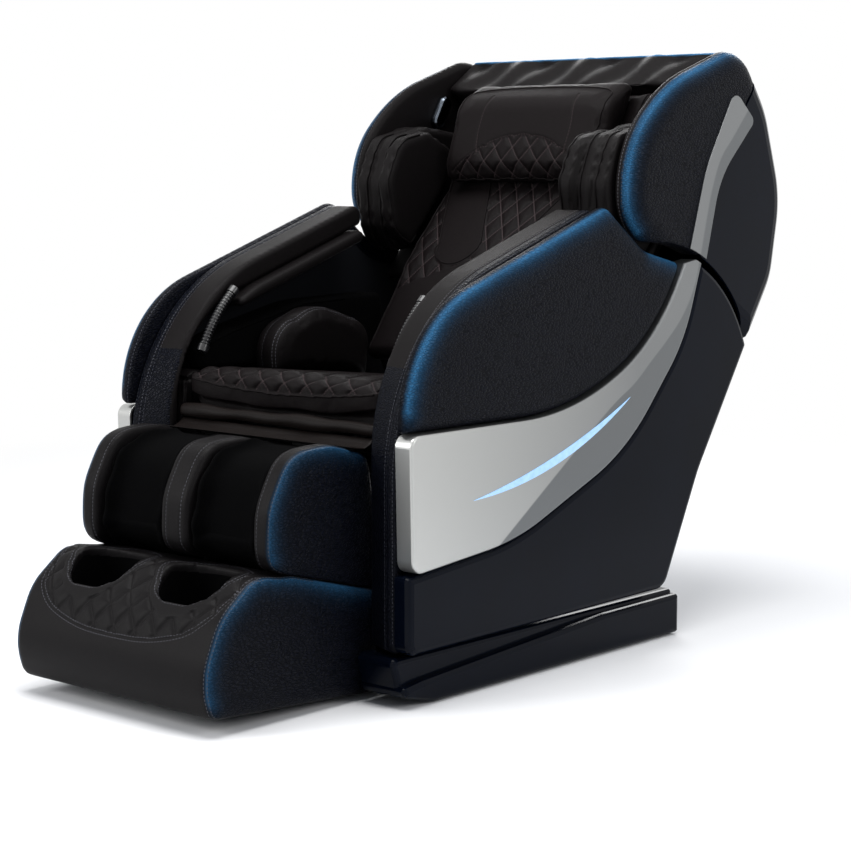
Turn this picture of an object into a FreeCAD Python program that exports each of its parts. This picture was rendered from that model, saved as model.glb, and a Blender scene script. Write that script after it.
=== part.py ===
import FreeCAD, Part
import math
import os
from FreeCAD import Vector

# Reclining massage chair. X is the width, the front is at low Y and Z is up from the floor.
# Lengths are in millimetres. The outlines are drawn from the middle of the four feet; each piece
# is then moved so that the origin lies on the floor under the middle of the whole chair.
FRAME_SHIFT_Y = 24.0

# Widths, from the middle of the chair outwards
HALF_WIDTH = 390.0
LIGHT_THICK = 1.5
TRIM_PROUD = 2.5
TRIM_ROUND = 5.0
PANEL_DEPTH = 36.0
PANEL_ROUND = 24.0
BOARD_THICK = 14.0
ARM_WIDTH = 86.0
BODY_GAP = 6.0
SEAM_GAP = 0.5
SEAT_GAP = 0.3
TRIM_X = HALF_WIDTH - LIGHT_THICK
PANEL_X = TRIM_X - TRIM_PROUD
BOARD_OUT_X = PANEL_X - PANEL_DEPTH
BOARD_IN_X = BOARD_OUT_X - BOARD_THICK
ARM_IN_X = BOARD_OUT_X - ARM_WIDTH
SEAT_HALF = ARM_IN_X - BODY_GAP

# Arm: upright front, one large bend, and a top that rises to the rear
ARM_FRONT_Y = -446.0
ARM_BOTTOM_Z = 98.0
ARM_REAR_Y = 133.0
ARM_REAR_Z = 878.0
ARM_SLOPE = 19.0
ARM_BEND_R = 395.0
INNER_BEND_R = ARM_BEND_R - 110
ARM_END_R = 20.0
ARM_SWEEP_BACK = 30.0
SWEEP_BEND = 1.5
BAND_FRONT_THICK = 26.0
BAND_TOP_THICK = 44.0
BAND_EDGE = 6.0
SOFT_EDGE = 12.0

# Recline axis, and the arcs of the side cover and of the hood that pass each other on it
RECLINE_Y = 290.0
RECLINE_Z = 436.0
SHOULDER_R = 357.0
HOOD_GAP = 10.5
SHOULDER_FIRST = 68.0
SHOULDER_LAST = 24.0
BACK_LEAN = 38.0
HOOD_R = SHOULDER_R + HOOD_GAP

# Side cover behind and below the silver trim
SIDE_REAR_Y = 449.0
SIDE_REAR_Z = 335.0
SIDE_FOOT_Y = 332.0
TRIM_FRONT_Z = 489.0
TRIM_LOW_Z = 242.0
SHELL_WALL = 4.0

# Seat
SEAT_FRONT_Y = -393.0
SEAT_FRONT_Z = 574.0
SEAT_REAR_Y = 85.0
SEAT_REAR_Z = 524.0
SEAT_BASE_Z = 470.0
PAN_THICK = 8.0
PAN_RIM = 30.0
FRAME_TUBE = 28.0
TUBE_WIDE = 40.0
TUBE_WALL = 2.5

# Leg rest: its hinge, the slope of the lower leg, and the widths of its walls
LEG_Y = -376.0
LEG_Z = 455.0
LEG_DIP = 47.0
LEG_SIDE_GAP = 4.0
LEG_HALF = SEAT_HALF - LEG_SIDE_GAP
FRAME_X = LEG_HALF - 39
LEG_PIN_R = 8.0
LEG_WALL = 48.0
DIVIDER_HALF = 36.0
FOOT_HALF = LEG_HALF + 6
FOOT_CLEAR_Z = 6.0
WELL_X = LEG_HALF - 135
WELL_HALF_X = 76.0
WELL_FRONT_Y = -752.0
WELL_REAR_Y = -628.0
WELL_FLOOR_Z = 44.0

# Base
BASE_FRONT_Y = -344.0
BASE_REAR_Y = 388.0
GLIDE_Y = 324.0
RAIL_LOW_Z = 70.0
RAIL_TOP_Z = 110.0
SKID_TOP_Z = 92.0
SKID_IN_X = ARM_IN_X + 4
SKID_OUT_X = PANEL_X - 12
SKIRT_X = PANEL_X - 30
GLIDE_R = 20.0
SLIDE_GAP = 0.4
RUN_GAP = 0.05

# Back and hood
PAD_BACK_N = 185.0
PAD_HALF = SEAT_HALF - 18
PLATE_X = PAD_HALF + BODY_GAP
LOWER_SHELL_HALF = PAD_HALF + 10
PLATE_THICK = 8.0
WING_IN_X = BOARD_IN_X - 1
HOOD_WALL = 5.0
PIN_R = 12.0

# Massage carriage and its rollers
CARRIAGE_U = 120.0
ARM_U_REACH = 66.0
KNEAD_X = 58.0
ROLLER_R = 27.0
ROLLER_WIDE = 30.0
AXLE_R = 5.0

# Drives: the hinge pin on the seat frame and the driven pin of each, as (y, z)
RECLINE_BASE = (-122.0, 216.0)
RECLINE_END = (340.0, 367.0)
LEG_BASE = (-66.0, 380.0)
LEG_END = (-380.4, 405.2)
LEG_DRIVE_X = 110.0
DRIVE_TUBE_R = 18.0
DRIVE_ROD_R = 9.0
DRIVE_EYE_R = 17.0
DRIVE_PIN_R = 7.0
RECLINE_EYE_GAP = 3.2
LEG_EYE_GAP = 4.6

MIN_R = 0.8

os.makedirs("parts", exist_ok=True)


# Outlines are lists of corners (u, v, radius), joined by lines and rounded by tangent arcs.
def turned_left(corners):
    area = 0.0
    for first, second in zip(corners, corners[1:] + corners[:1]):
        area += first[0] * second[1] - second[0] * first[1]
    return corners if area > 0 else corners[::-1]


def unit(du, dv):
    length = math.hypot(du, dv)
    return du / length, dv / length


def arc_data(corners):
    """Directions, half angle and tangent length at each corner; long tangents share their run."""
    count = len(corners)
    data = []
    for i, (u, v, radius) in enumerate(corners):
        before = corners[i - 1]
        after = corners[(i + 1) % count]
        to_before = unit(before[0] - u, before[1] - v)
        to_after = unit(after[0] - u, after[1] - v)
        cosine = to_before[0] * to_after[0] + to_before[1] * to_after[1]
        half = math.acos(max(-1.0, min(1.0, cosine))) / 2
        data.append([to_before, to_after, half, max(radius, MIN_R) / math.tan(half)])
    share = [1.0] * count
    for i in range(count):
        j = (i + 1) % count
        run = math.hypot(corners[j][0] - corners[i][0], corners[j][1] - corners[i][1])
        need = data[i][3] + data[j][3]
        if need > 0.98 * run:
            share[i] = min(share[i], 0.98 * run / need)
            share[j] = min(share[j], 0.98 * run / need)
    for i in range(count):
        data[i][3] *= share[i]
    return data


def outline_wire(corners, place):
    """A closed wire of lines and arcs through rounded corners; place lays (u, v) in space."""
    corners = turned_left(corners)
    starts, middles, ends = [], [], []
    for (u, v, _), (to_before, to_after, half, reach) in zip(corners, arc_data(corners)):
        bis = unit(to_before[0] + to_after[0], to_before[1] + to_after[1])
        radius = reach * math.tan(half)
        depth = radius / math.sin(half) - radius
        starts.append(place(u + to_before[0] * reach, v + to_before[1] * reach))
        middles.append(place(u + bis[0] * depth, v + bis[1] * depth))
        ends.append(place(u + to_after[0] * reach, v + to_after[1] * reach))
    edges = []
    for i in range(len(corners)):
        edges.append(Part.Arc(starts[i], middles[i], ends[i]).toShape())
        edges.append(Part.LineSegment(ends[i], starts[(i + 1) % len(corners)]).toShape())
    return Part.Wire(edges)


def inset(corners, gap):
    """The outline with every side moved inwards by gap, outwards where gap is negative."""
    corners = turned_left(corners)
    count = len(corners)
    moved = []
    for i, (u, v, radius) in enumerate(corners):
        before = corners[i - 1]
        after = corners[(i + 1) % count]
        d1 = unit(u - before[0], v - before[1])
        d2 = unit(after[0] - u, after[1] - v)
        cross = d1[0] * d2[1] - d1[1] * d2[0]
        scale = gap / (1 + d1[0] * d2[0] + d1[1] * d2[1])
        new_u = u + scale * (-d1[1] - d2[1])
        new_v = v + scale * (d1[0] + d2[0])
        moved.append((new_u, new_v, max(radius - math.copysign(1, cross) * gap, MIN_R)))
    return moved


def loft(wires):
    return Part.makeLoft(wires, True, True)


def soft_levels(low, high, edge_low, edge_high, steps=3):
    """Positions and insets that round both ends of a pad by quarter circles."""
    levels = []
    for k in range(steps + 1):
        turn = math.pi / 2 * k / steps
        levels.append((low + edge_low * (1 - math.cos(turn)), edge_low * (1 - math.sin(turn))))
    for k in range(steps + 1):
        turn = math.pi / 2 * (1 - k / steps)
        levels.append((high - edge_high * (1 - math.cos(turn)), edge_high * (1 - math.sin(turn))))
    return levels


def pad_x(corners, low, high, edge_low=SOFT_EDGE, edge_high=SOFT_EDGE, steps=3):
    """A closed pad between two X positions, its outline (y, z) drawn in towards both ends."""
    levels = soft_levels(low, high, edge_low, edge_high, steps)
    return loft([outline_wire(inset(corners, gap), lambda u, v, x=x: Vector(x, u, v)) for x, gap in levels])


def block_x(corners, low, high):
    """A plate of even thickness between two X positions with the outline (y, z)."""
    face = Part.Face(outline_wire(corners, lambda u, v: Vector(low, u, v)))
    return face.extrude(Vector(high - low, 0, 0))


def box(x0, x1, y0, y1, z0, z1):
    return Part.makeBox(x1 - x0, y1 - y0, z1 - z0, Vector(x0, y0, z0))


def rounded_box(x0, x1, y0, y1, z0, z1, radius):
    """A box with its four upright edges rounded."""
    block = box(x0, x1, y0, y1, z0, z1)
    return block.makeFillet(radius, [edge for edge in block.Edges if abs(edge.tangentAt(0).z) > 0.9])


def hollow_box(x0, x1, y0, y1, z0, z1):
    """A rectangular steel tube along its longest side, open at both ends."""
    sizes = (x1 - x0, y1 - y0, z1 - z0)
    longest = sizes.index(max(sizes))
    trims = [-1.0 if k == longest else TUBE_WALL for k in range(3)]
    bore = box(x0 + trims[0], x1 - trims[0], y0 + trims[1], y1 - trims[1], z0 + trims[2], z1 - trims[2])
    return box(x0, x1, y0, y1, z0, z1).cut(bore)


def rod_x(y, z, radius, low, high):
    return Part.makeCylinder(radius, high - low, Vector(low, y, z), Vector(1, 0, 0))


def rod_between(start, end, radius):
    way = end - start
    return Part.makeCylinder(radius, way.Length, start, way)


def mirrored(shape):
    return shape.mirror(Vector(0, 0, 0), Vector(1, 0, 0))


def both(shapes):
    """The solids and their mirror images on the other side of the chair."""
    return shapes + [mirrored(shape) for shape in shapes]


def save(name, shapes):
    solids = [solid for shape in shapes for solid in shape.Solids]
    group = Part.makeCompound(solids)
    group.translate(Vector(0, FRAME_SHIFT_Y, 0))
    for solid in solids:
        assert solid.isValid() and solid.Volume > 0, name
    group.exportStep("parts/" + name + ".step")
    print(name, len(solids), round(group.Volume / 1000), "cm3")


def save_pair(name, shapes):
    save(name + "_left", shapes)
    save(name + "_right", [mirrored(shape) for shape in shapes])


def polar(radius, angle):
    """A point (y, z) on a circle about the recline axis; the angle counts up from the rear."""
    turn = math.radians(angle)
    return RECLINE_Y + radius * math.cos(turn), RECLINE_Z + radius * math.sin(turn)


def arc_corner(radius, first, last):
    """The one corner whose rounding is the arc about the recline axis between two angles."""
    half = math.radians(abs(first - last) / 2)
    y, z = polar(radius / math.cos(half), (first + last) / 2)
    return y, z, radius


def back_point(u, n):
    """A point (y, z) of the back: u up along it and n forward from the recline axis."""
    lean = math.radians(BACK_LEAN)
    y = RECLINE_Y + u * math.sin(lean) - n * math.cos(lean)
    z = RECLINE_Z + u * math.cos(lean) + n * math.sin(lean)
    return y, z


def leg_point(s, w):
    """A point (y, z) of the leg rest: s down the lower leg and w out of the calf wells."""
    dip = math.radians(LEG_DIP)
    y = LEG_Y - s * math.cos(dip) - w * math.sin(dip)
    z = LEG_Z - s * math.sin(dip) + w * math.cos(dip)
    return y, z


def back_rows(rows):
    return [back_point(u, n) + (radius,) for u, n, radius in rows]


def leg_rows(rows):
    return [leg_point(s, w) + (radius,) for s, w, radius in rows]


def arm_top_z(y):
    return ARM_REAR_Z + math.tan(math.radians(ARM_SLOPE)) * (y - ARM_REAR_Y)


# Side outline, shared by the board, the leather panel, the trim and the lower cover
TOP_CORNER = (ARM_FRONT_Y, arm_top_z(ARM_FRONT_Y), ARM_BEND_R)
TOP_REAR = (ARM_REAR_Y, ARM_REAR_Z, ARM_END_R)
NOTCH = (ARM_REAR_Y + 125, ARM_REAR_Z - 88, 120)
NOTCH_REAR = polar(SHOULDER_R, SHOULDER_FIRST) + (10,)
SHOULDER_END = polar(SHOULDER_R, SHOULDER_LAST) + (12,)
SIDE_REAR = (SIDE_REAR_Y, SIDE_REAR_Z, 300)
SIDE_FOOT = (SIDE_FOOT_Y, ARM_BOTTOM_Z + 8, 40)
SIDE_TOE = (ARM_FRONT_Y, ARM_BOTTOM_Z, 22)

# Edges of the silver trim: the upper one against the leather, the lower one against the cover
TRIM_TOP_FRONT = polar(SHOULDER_R, SHOULDER_FIRST + 7)
UPPER_EDGE = [
    (20.0, TRIM_FRONT_Z, 690),
    (RECLINE_Y, TRIM_FRONT_Z + 121, 460),
    (TRIM_TOP_FRONT[0], TRIM_TOP_FRONT[1] - 20, 4),
]
TRIM_TOP_REAR = polar(SHOULDER_R, SHOULDER_FIRST - 3)
LOWER_EDGE = [
    (-150.0, TRIM_LOW_Z + 26, 600),
    (190.0, TRIM_LOW_Z + 158, 500),
    (385.0, TRIM_LOW_Z + 363, 350),
    TRIM_TOP_REAR + (3,),
]


def shifted(corners, dz):
    return [(u, v + dz, radius) for u, v, radius in corners]


def side_board_outline():
    whole = [SIDE_TOE, TOP_CORNER, TOP_REAR, NOTCH, NOTCH_REAR]
    whole += [arc_corner(SHOULDER_R, SHOULDER_FIRST, SHOULDER_LAST), SHOULDER_END, SIDE_REAR, SIDE_FOOT]
    return inset(whole, BAND_TOP_THICK + SEAM_GAP)


def leather_panel_outline():
    front = (ARM_FRONT_Y, TRIM_FRONT_Z + 2, 8)
    edge = shifted(UPPER_EDGE, 2 * SEAM_GAP)
    return [front, TOP_CORNER, TOP_REAR, NOTCH] + edge[::-1]


def trim_outline():
    front_top = (ARM_FRONT_Y + 2, TRIM_FRONT_Z, 22)
    front_low = (ARM_FRONT_Y + 8, TRIM_LOW_Z, 24)
    return [front_top] + UPPER_EDGE + [NOTCH_REAR] + LOWER_EDGE[::-1] + [front_low]


def lower_cover_outline():
    front = (ARM_FRONT_Y, TRIM_LOW_Z - 3, 8)
    edge = shifted(LOWER_EDGE, -2 * SEAM_GAP)
    arc = arc_corner(SHOULDER_R - SEAM_GAP, SHOULDER_FIRST - 4, SHOULDER_LAST)
    return [SIDE_TOE, front] + edge + [arc, SHOULDER_END, SIDE_REAR, SIDE_FOOT]


def make_sides():
    board = block_x(side_board_outline(), BOARD_IN_X, BOARD_OUT_X)
    panel = pad_x(leather_panel_outline(), BOARD_OUT_X, PANEL_X, SEAM_GAP, PANEL_ROUND, 4)
    save_pair("side_panel", [panel])
    cover = pad_x(lower_cover_outline(), BOARD_OUT_X, PANEL_X, SEAM_GAP, SOFT_EDGE)
    hollow = block_x(inset(lower_cover_outline(), SHELL_WALL), BOARD_OUT_X - 1, PANEL_X - SOFT_EDGE - SHELL_WALL)
    save_pair("lower_cover", [cover.cut(hollow)])
    trim = pad_x(trim_outline(), BOARD_OUT_X, TRIM_X, SEAM_GAP, TRIM_ROUND)
    hollow = block_x(inset(trim_outline(), SHELL_WALL), BOARD_OUT_X - 1, TRIM_X - SHELL_WALL - TRIM_ROUND)
    save_pair("side_trim", [trim.cut(hollow)])
    save("side_lights", both([light_strip()]))
    return board


# Light strip: two arcs through the same tips
LIGHT_FRONT = (-277.0, 358.0)
LIGHT_REAR = (197.0, 506.0)
LIGHT_SAG = 35.0
LIGHT_WIDE = 17.0


def light_strip():
    middle_y = (LIGHT_FRONT[0] + LIGHT_REAR[0]) / 2
    middle_z = (LIGHT_FRONT[1] + LIGHT_REAR[1]) / 2
    tips = [Vector(TRIM_X, *LIGHT_FRONT), Vector(TRIM_X, *LIGHT_REAR)]
    low = Vector(TRIM_X, middle_y, middle_z - LIGHT_SAG)
    high = Vector(TRIM_X, middle_y, middle_z - LIGHT_SAG + LIGHT_WIDE)
    edges = [Part.Arc(tips[0], low, tips[1]).toShape(), Part.Arc(tips[1], high, tips[0]).toShape()]
    return Part.Face(Part.Wire(edges)).extrude(Vector(LIGHT_THICK, 0, 0))


def band_outline(sweep):
    """The leather wrap over the arm; sweep moves its front back towards the inner side."""
    front = ARM_FRONT_Y + sweep
    inner_front = front + BAND_FRONT_THICK
    drop = BAND_TOP_THICK / math.cos(math.radians(ARM_SLOPE))
    return [
        (front, ARM_BOTTOM_Z, 12),
        (front, arm_top_z(front), ARM_BEND_R - SWEEP_BEND * sweep),
        TOP_REAR,
        (ARM_REAR_Y, ARM_REAR_Z - drop, 8),
        (inner_front, arm_top_z(inner_front) - drop, INNER_BEND_R - SWEEP_BEND * sweep),
        (inner_front, ARM_BOTTOM_Z, 6),
    ]


def arm_band():
    straight_x = BOARD_IN_X - 1
    levels = soft_levels(ARM_IN_X, BOARD_OUT_X - SEAM_GAP, BAND_EDGE, 4) + [(straight_x, 0.0)]
    wires = []
    for x, gap in sorted(levels):
        sweep = ARM_SWEEP_BACK * max(0.0, (straight_x - x) / (straight_x - ARM_IN_X))
        wires.append(outline_wire(inset(band_outline(sweep), gap), lambda u, v, x=x: Vector(x, u, v)))
    return loft(wires)


# Pads inside the arm
INNER_PAD_THICK = 26.0
INNER_PAD_IN_X = ARM_IN_X - 26
INNER_PAD_OUT_X = BOARD_IN_X - BODY_GAP
INNER_PAD_FRONT = 200.0
INNER_PAD_REAR = 18.0
INNER_PAD_LEAD = 50.0
TRAY = [
    (-336.0, 558.0, 8),
    (-340.0, 602.0, 10),
    (-248.0, 632.0, 200),
    (-48.0, 678.0, 300),
    (195.0, 686.0, 16),
    (195.0, 558.0, 8),
]
GUSSET_TOP_Z = 557.0
GUSSET_REAR_Y = -320.0
GUSSET_LOW_Z = ARM_BOTTOM_Z + 12
GUSSET_WAIST_Z = GUSSET_TOP_Z - 88


def inner_pad():
    lean = math.cos(math.radians(ARM_SLOPE))
    under = (BAND_TOP_THICK + SEAT_GAP) / lean
    thick = INNER_PAD_THICK / lean
    rear = ARM_REAR_Y - INNER_PAD_REAR
    front = ARM_FRONT_Y + INNER_PAD_FRONT
    lead = front + INNER_PAD_LEAD
    corners = [
        (front, arm_top_z(front) - under - thick / 3, 12),
        (front, arm_top_z(front) - under - thick, 10),
        (rear, arm_top_z(rear) - under - thick, 12),
        (rear, arm_top_z(rear) - under, 12),
        (lead, arm_top_z(lead) - under, 60),
    ]
    return pad_x(corners, INNER_PAD_IN_X, INNER_PAD_OUT_X, edge_low=9, edge_high=9)


def arm_tray():
    return pad_x(TRAY, ARM_IN_X - 2, BOARD_IN_X - SEAM_GAP, edge_low=8, edge_high=3)


def arm_gusset():
    front = ARM_FRONT_Y + BAND_FRONT_THICK + ARM_SWEEP_BACK + SEAM_GAP
    corners = [
        (front, GUSSET_LOW_Z, 6),
        (GUSSET_REAR_Y, GUSSET_LOW_Z, 6),
        (GUSSET_REAR_Y, GUSSET_TOP_Z, 12),
        (front + 24, GUSSET_TOP_Z, 30),
        (front + 2, GUSSET_WAIST_Z, 80),
    ]
    return pad_x(corners, ARM_IN_X - 1, BOARD_IN_X - SEAM_GAP, edge_low=6, edge_high=3)


HIP_SINK = 3.3
HIP_FRONT_Y = -197.0
HIP_REAR_Y = 72.0
HIP_OUT_X = SEAT_HALF - BODY_GAP
HIP_THICK = 62.0


def hip_airbag():
    slope = (SEAT_REAR_Z - SEAT_FRONT_Z) / (SEAT_REAR_Y - SEAT_FRONT_Y)
    base_front = SEAT_FRONT_Z + slope * (HIP_FRONT_Y - SEAT_FRONT_Y) - HIP_SINK
    base_rear = SEAT_FRONT_Z + slope * (HIP_REAR_Y - SEAT_FRONT_Y) - HIP_SINK
    corners = [
        (HIP_FRONT_Y, base_front, 6),
        (HIP_REAR_Y, base_rear, 6),
        (HIP_REAR_Y + 12, base_rear + 106, 55),
        (HIP_FRONT_Y + 125, base_front + 125, 110),
        (HIP_FRONT_Y - 4, base_front + 78, 70),
    ]
    return pad_x(corners, HIP_OUT_X - HIP_THICK, HIP_OUT_X, edge_low=14, edge_high=8)


# Ribbed air hose at the front of each arm slot
HOSE_X = ARM_IN_X - 13
HOSE_TOP = (-262.0, 703.0)
HOSE_LOW = (-335.0, 606.0)
HOSE_R = 9.5
HOSE_ROOT_R = 7.6
HOSE_BORE_R = 5.0
HOSE_RIBS = 18
HOSE_BOW = 6.0
RIB_STEPS = ((0.0, HOSE_ROOT_R), (0.3, HOSE_R), (0.6, HOSE_R), (0.9, HOSE_ROOT_R))
RIB_END = 0.9
BORE_STEPS = 8
CUFF_LONG = 14.0
CUFF_R = 11.0
STEM_R = 4.0


def arm_hose():
    start = Vector(HOSE_X, *HOSE_TOP)
    end = Vector(HOSE_X, *HOSE_LOW)
    chord = end - start
    side = Vector(0, -chord.z, chord.y).normalize()
    half = chord.Length / 2
    radius = (half * half + HOSE_BOW * HOSE_BOW) / (2 * HOSE_BOW)
    centre = start + chord / 2 + side * (radius - HOSE_BOW)
    spread = math.asin(half / radius)
    pitch = 1.0 / HOSE_RIBS

    def circle(part, r):
        turn = spread * (2 * part - 1)
        out = side * -math.cos(turn) + chord.normalize() * math.sin(turn)
        along = side * math.sin(turn) + chord.normalize() * math.cos(turn)
        ring = Part.Circle(centre + out * radius, along, r)
        ring.XAxis = Vector(1, 0, 0)
        return Part.Wire(ring.toShape())

    rings = []
    for rib in range(HOSE_RIBS):
        for step, r in RIB_STEPS:
            rings.append(circle((rib + step) * pitch, r))
    skin = loft(rings)
    last = (HOSE_RIBS - 1 + RIB_END) * pitch
    bore = loft([circle(k / BORE_STEPS * last, HOSE_BORE_R) for k in range(BORE_STEPS + 1)])
    cuffs = []
    for part, reach, stem_end in ((0.0, -CUFF_LONG, ARM_IN_X), (last, CUFF_LONG, ARM_IN_X - 2)):
        turn = spread * (2 * part - 1)
        out = side * -math.cos(turn) + chord.normalize() * math.sin(turn)
        along = side * math.sin(turn) + chord.normalize() * math.cos(turn)
        face = centre + out * radius
        cuff = rod_between(face, face + along * reach, CUFF_R)
        stem_y = face.y + along.y * reach / 2
        stem_z = face.z + along.z * reach / 2
        cuffs.append(cuff.fuse(rod_x(stem_y, stem_z, STEM_R, HOSE_X, stem_end)))
    return [skin.cut(bore)] + cuffs


def make_arms():
    save_pair("arm_band", [arm_band()])
    save("arm_inner_pads", both([inner_pad()]))
    save("arm_trays", both([arm_tray()]))
    save("arm_gussets", both([arm_gusset()]))
    save("hip_airbags", both([hip_airbag()]))
    save("arm_hoses", both(arm_hose()))


CROWN_SHARES = (0.4, 0.75)


def crowned_pad(corners, half, edge, crown, steps=3):
    """A pad about the middle of the chair: rounded ends, and a crown that falls towards them."""
    levels = soft_levels(-half, half, edge, edge, steps)
    levels.insert(steps + 1, (0.0, 0.0))
    for share in CROWN_SHARES:
        levels.append((half * share, 0.0))
        levels.append((-half * share, 0.0))
    wires = []
    for x, gap in sorted(levels):
        drawn = inset(corners, gap + crown * (x / half) ** 2)
        wires.append(outline_wire(drawn, lambda u, v, x=x: Vector(x, u, v)))
    return loft(wires)


# Seat cushion, and the cloth cover that hangs and folds under its front edge
ROLL_LOW_Z = 473.0
ROLL_R = 13.0
TONGUE_HALF = 180.0
TONGUE_THICK = 4.0
PAN_FRONT_Y = SEAT_FRONT_Y + 50
CUSHION_EDGE = 14.0
CUSHION_CROWN = 6.0
CUSHION_LIP = 34.0


def seat_cushion():
    base = SEAT_BASE_Z + SEAT_GAP
    corners = [
        (SEAT_FRONT_Y + 8, base + CUSHION_LIP, 14),
        (SEAT_FRONT_Y, SEAT_FRONT_Z, 24),
        (SEAT_REAR_Y, SEAT_REAR_Z, 20),
        (SEAT_REAR_Y, base, 8),
        (SEAT_FRONT_Y + 60, base, 30),
    ]
    return crowned_pad(corners, SEAT_HALF - 1, CUSHION_EDGE, CUSHION_CROWN)


def seat_front_cover():
    front = SEAT_FRONT_Y - 6
    middle = front + ROLL_R
    rear = front + 2 * ROLL_R
    high = ROLL_LOW_Z + 2 * ROLL_R
    roll = [(front, ROLL_LOW_Z, ROLL_R), (rear, ROLL_LOW_Z, ROLL_R), (rear, high, ROLL_R), (front, high, ROLL_R)]
    pan = SEAT_BASE_Z - 1
    tongue = [
        (middle, ROLL_LOW_Z + 1, 1),
        (middle, ROLL_LOW_Z + 1 + TONGUE_THICK, 1),
        (PAN_FRONT_Y, pan, 1),
        (PAN_FRONT_Y, pan - TONGUE_THICK, 1),
    ]
    bead = pad_x(roll, 1 - SEAT_HALF, SEAT_HALF - 1, 4, 4, 2)
    return [bead.fuse(block_x(tongue, -TONGUE_HALF, TONGUE_HALF))]


# Steel seat frame: two long tubes, cross tubes, posts, the lugs of the leg rest and side brackets
LONG_FRONT_Y = -350.0
LONG_REAR_Y = 130.0
POST_Y = 130.0
LOW_CROSS_Z = 150.0
LUG_R = 15.0
LUG_IN_X = FRAME_X - 7
LUG_OUT_X = FRAME_X + 7
BRACKET_HALF = 26.0
BRACKET_IN_X = PLATE_X + PLATE_THICK + 2
FRONT_CROSS_Y = LONG_FRONT_Y + 34
RUNNER_WALL = 5.0
RUNNER_TOP_Z = RAIL_TOP_Z + SLIDE_GAP + 24
RUNNER_HALF_Y = 32.0
RUNNER_LIP = 18.0


def seat_frame():
    half = TUBE_WIDE / 2
    deep = FRAME_TUBE / 2
    inner = FRAME_X - half
    top = SEAT_BASE_Z - PAN_THICK
    low = top - FRAME_TUBE
    one_side = [hollow_box(inner, FRAME_X + half, LONG_FRONT_Y, LONG_REAR_Y, low, top)]
    for y in (-POST_Y, POST_Y):
        one_side.append(hollow_box(inner, FRAME_X + half, y - half, y + half, RUNNER_TOP_Z, low))
        one_side.append(hollow_box(FRAME_X + half, BOARD_IN_X, y - half, y, low, top))
    lug = box(LUG_IN_X, LUG_OUT_X, LEG_Y, LONG_FRONT_Y, LEG_Z - LUG_R, top)
    lug = lug.fuse(rod_x(LEG_Y, LEG_Z, LUG_R, LUG_IN_X, LUG_OUT_X))
    one_side.append(lug.cut(rod_x(LEG_Y, LEG_Z, LEG_PIN_R + RUN_GAP, LUG_IN_X - 1, LUG_OUT_X + 1)))
    bracket = box(BRACKET_IN_X, BOARD_IN_X, RECLINE_Y - BRACKET_HALF, RECLINE_Y + BRACKET_HALF,
                  RECLINE_Z - BRACKET_HALF, RECLINE_Z + BRACKET_HALF)
    one_side.append(bracket.cut(rod_x(RECLINE_Y, RECLINE_Z, PIN_R + RUN_GAP, PLATE_X, BOARD_IN_X + 1)))
    frame = both(one_side)
    for y in (-POST_Y, POST_Y):
        frame.append(hollow_box(-inner, inner, y - half, y + half, LOW_CROSS_Z, LOW_CROSS_Z + FRAME_TUBE))
    for y in (FRONT_CROSS_Y, LEG_BASE[0], LONG_REAR_Y - deep):
        frame.append(hollow_box(-inner, inner, y - deep, y + deep, low, top))
    frame += drive_lugs(0.0, RECLINE_BASE, -POST_Y, LOW_CROSS_Z + FRAME_TUBE)
    return frame + drive_lugs(LEG_DRIVE_X, LEG_BASE, LEG_BASE[0], low)


def runner(y):
    """A guide block that sits over the base rail with a lip down each side."""
    half = TUBE_WIDE / 2 + SLIDE_GAP
    outer_half = half + RUNNER_WALL
    low = RAIL_TOP_Z - RUNNER_LIP
    outer = box(FRAME_X - outer_half, FRAME_X + outer_half, y - RUNNER_HALF_Y, y + RUNNER_HALF_Y, low, RUNNER_TOP_Z)
    slot = box(FRAME_X - half, FRAME_X + half, y - 2 * RUNNER_HALF_Y, y + 2 * RUNNER_HALF_Y,
               RAIL_LOW_Z, RAIL_TOP_Z + SLIDE_GAP)
    return outer.cut(slot)


# Air pump on a tray between the low cross tubes
PUMP_X0 = 35 - FRAME_X
PUMP_X1 = PUMP_X0 + 120
PUMP_Y0 = -80.0
PUMP_Y1 = 60.0
PUMP_HIGH = 70.0
PUMP_ROUND = 10.0
TRAY_PLATE = 3.0
TRAY_RIM = 8.0
VALVE_Y0 = 70.0
VALVE_Y1 = 110.0
VALVE_HIGH = 34.0
SPOUTS = 4
SPOUT_PITCH = 22.0
SPOUT_R = 5.0
SPOUT_LONG = 16.0


def air_pump():
    low = LOW_CROSS_Z + FRAME_TUBE
    top = low + TRAY_PLATE
    tray_y = POST_Y + 15
    tray = box(PUMP_X0 - TRAY_RIM, PUMP_X1 + TRAY_RIM, -tray_y, tray_y, low, top)
    case = rounded_box(PUMP_X0, PUMP_X1, PUMP_Y0, PUMP_Y1, top, top + PUMP_HIGH, PUMP_ROUND)
    valves = box(PUMP_X0 + 10, PUMP_X1 - 10, VALVE_Y0, VALVE_Y1, top, top + VALVE_HIGH)
    first = (PUMP_X0 + PUMP_X1 - (SPOUTS - 1) * SPOUT_PITCH) / 2
    for k in range(SPOUTS):
        foot = Vector(first + k * SPOUT_PITCH, (VALVE_Y0 + VALVE_Y1) / 2, top + VALVE_HIGH)
        valves = valves.fuse(Part.makeCylinder(SPOUT_R, SPOUT_LONG, foot))
    return [tray, case, valves]


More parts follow.
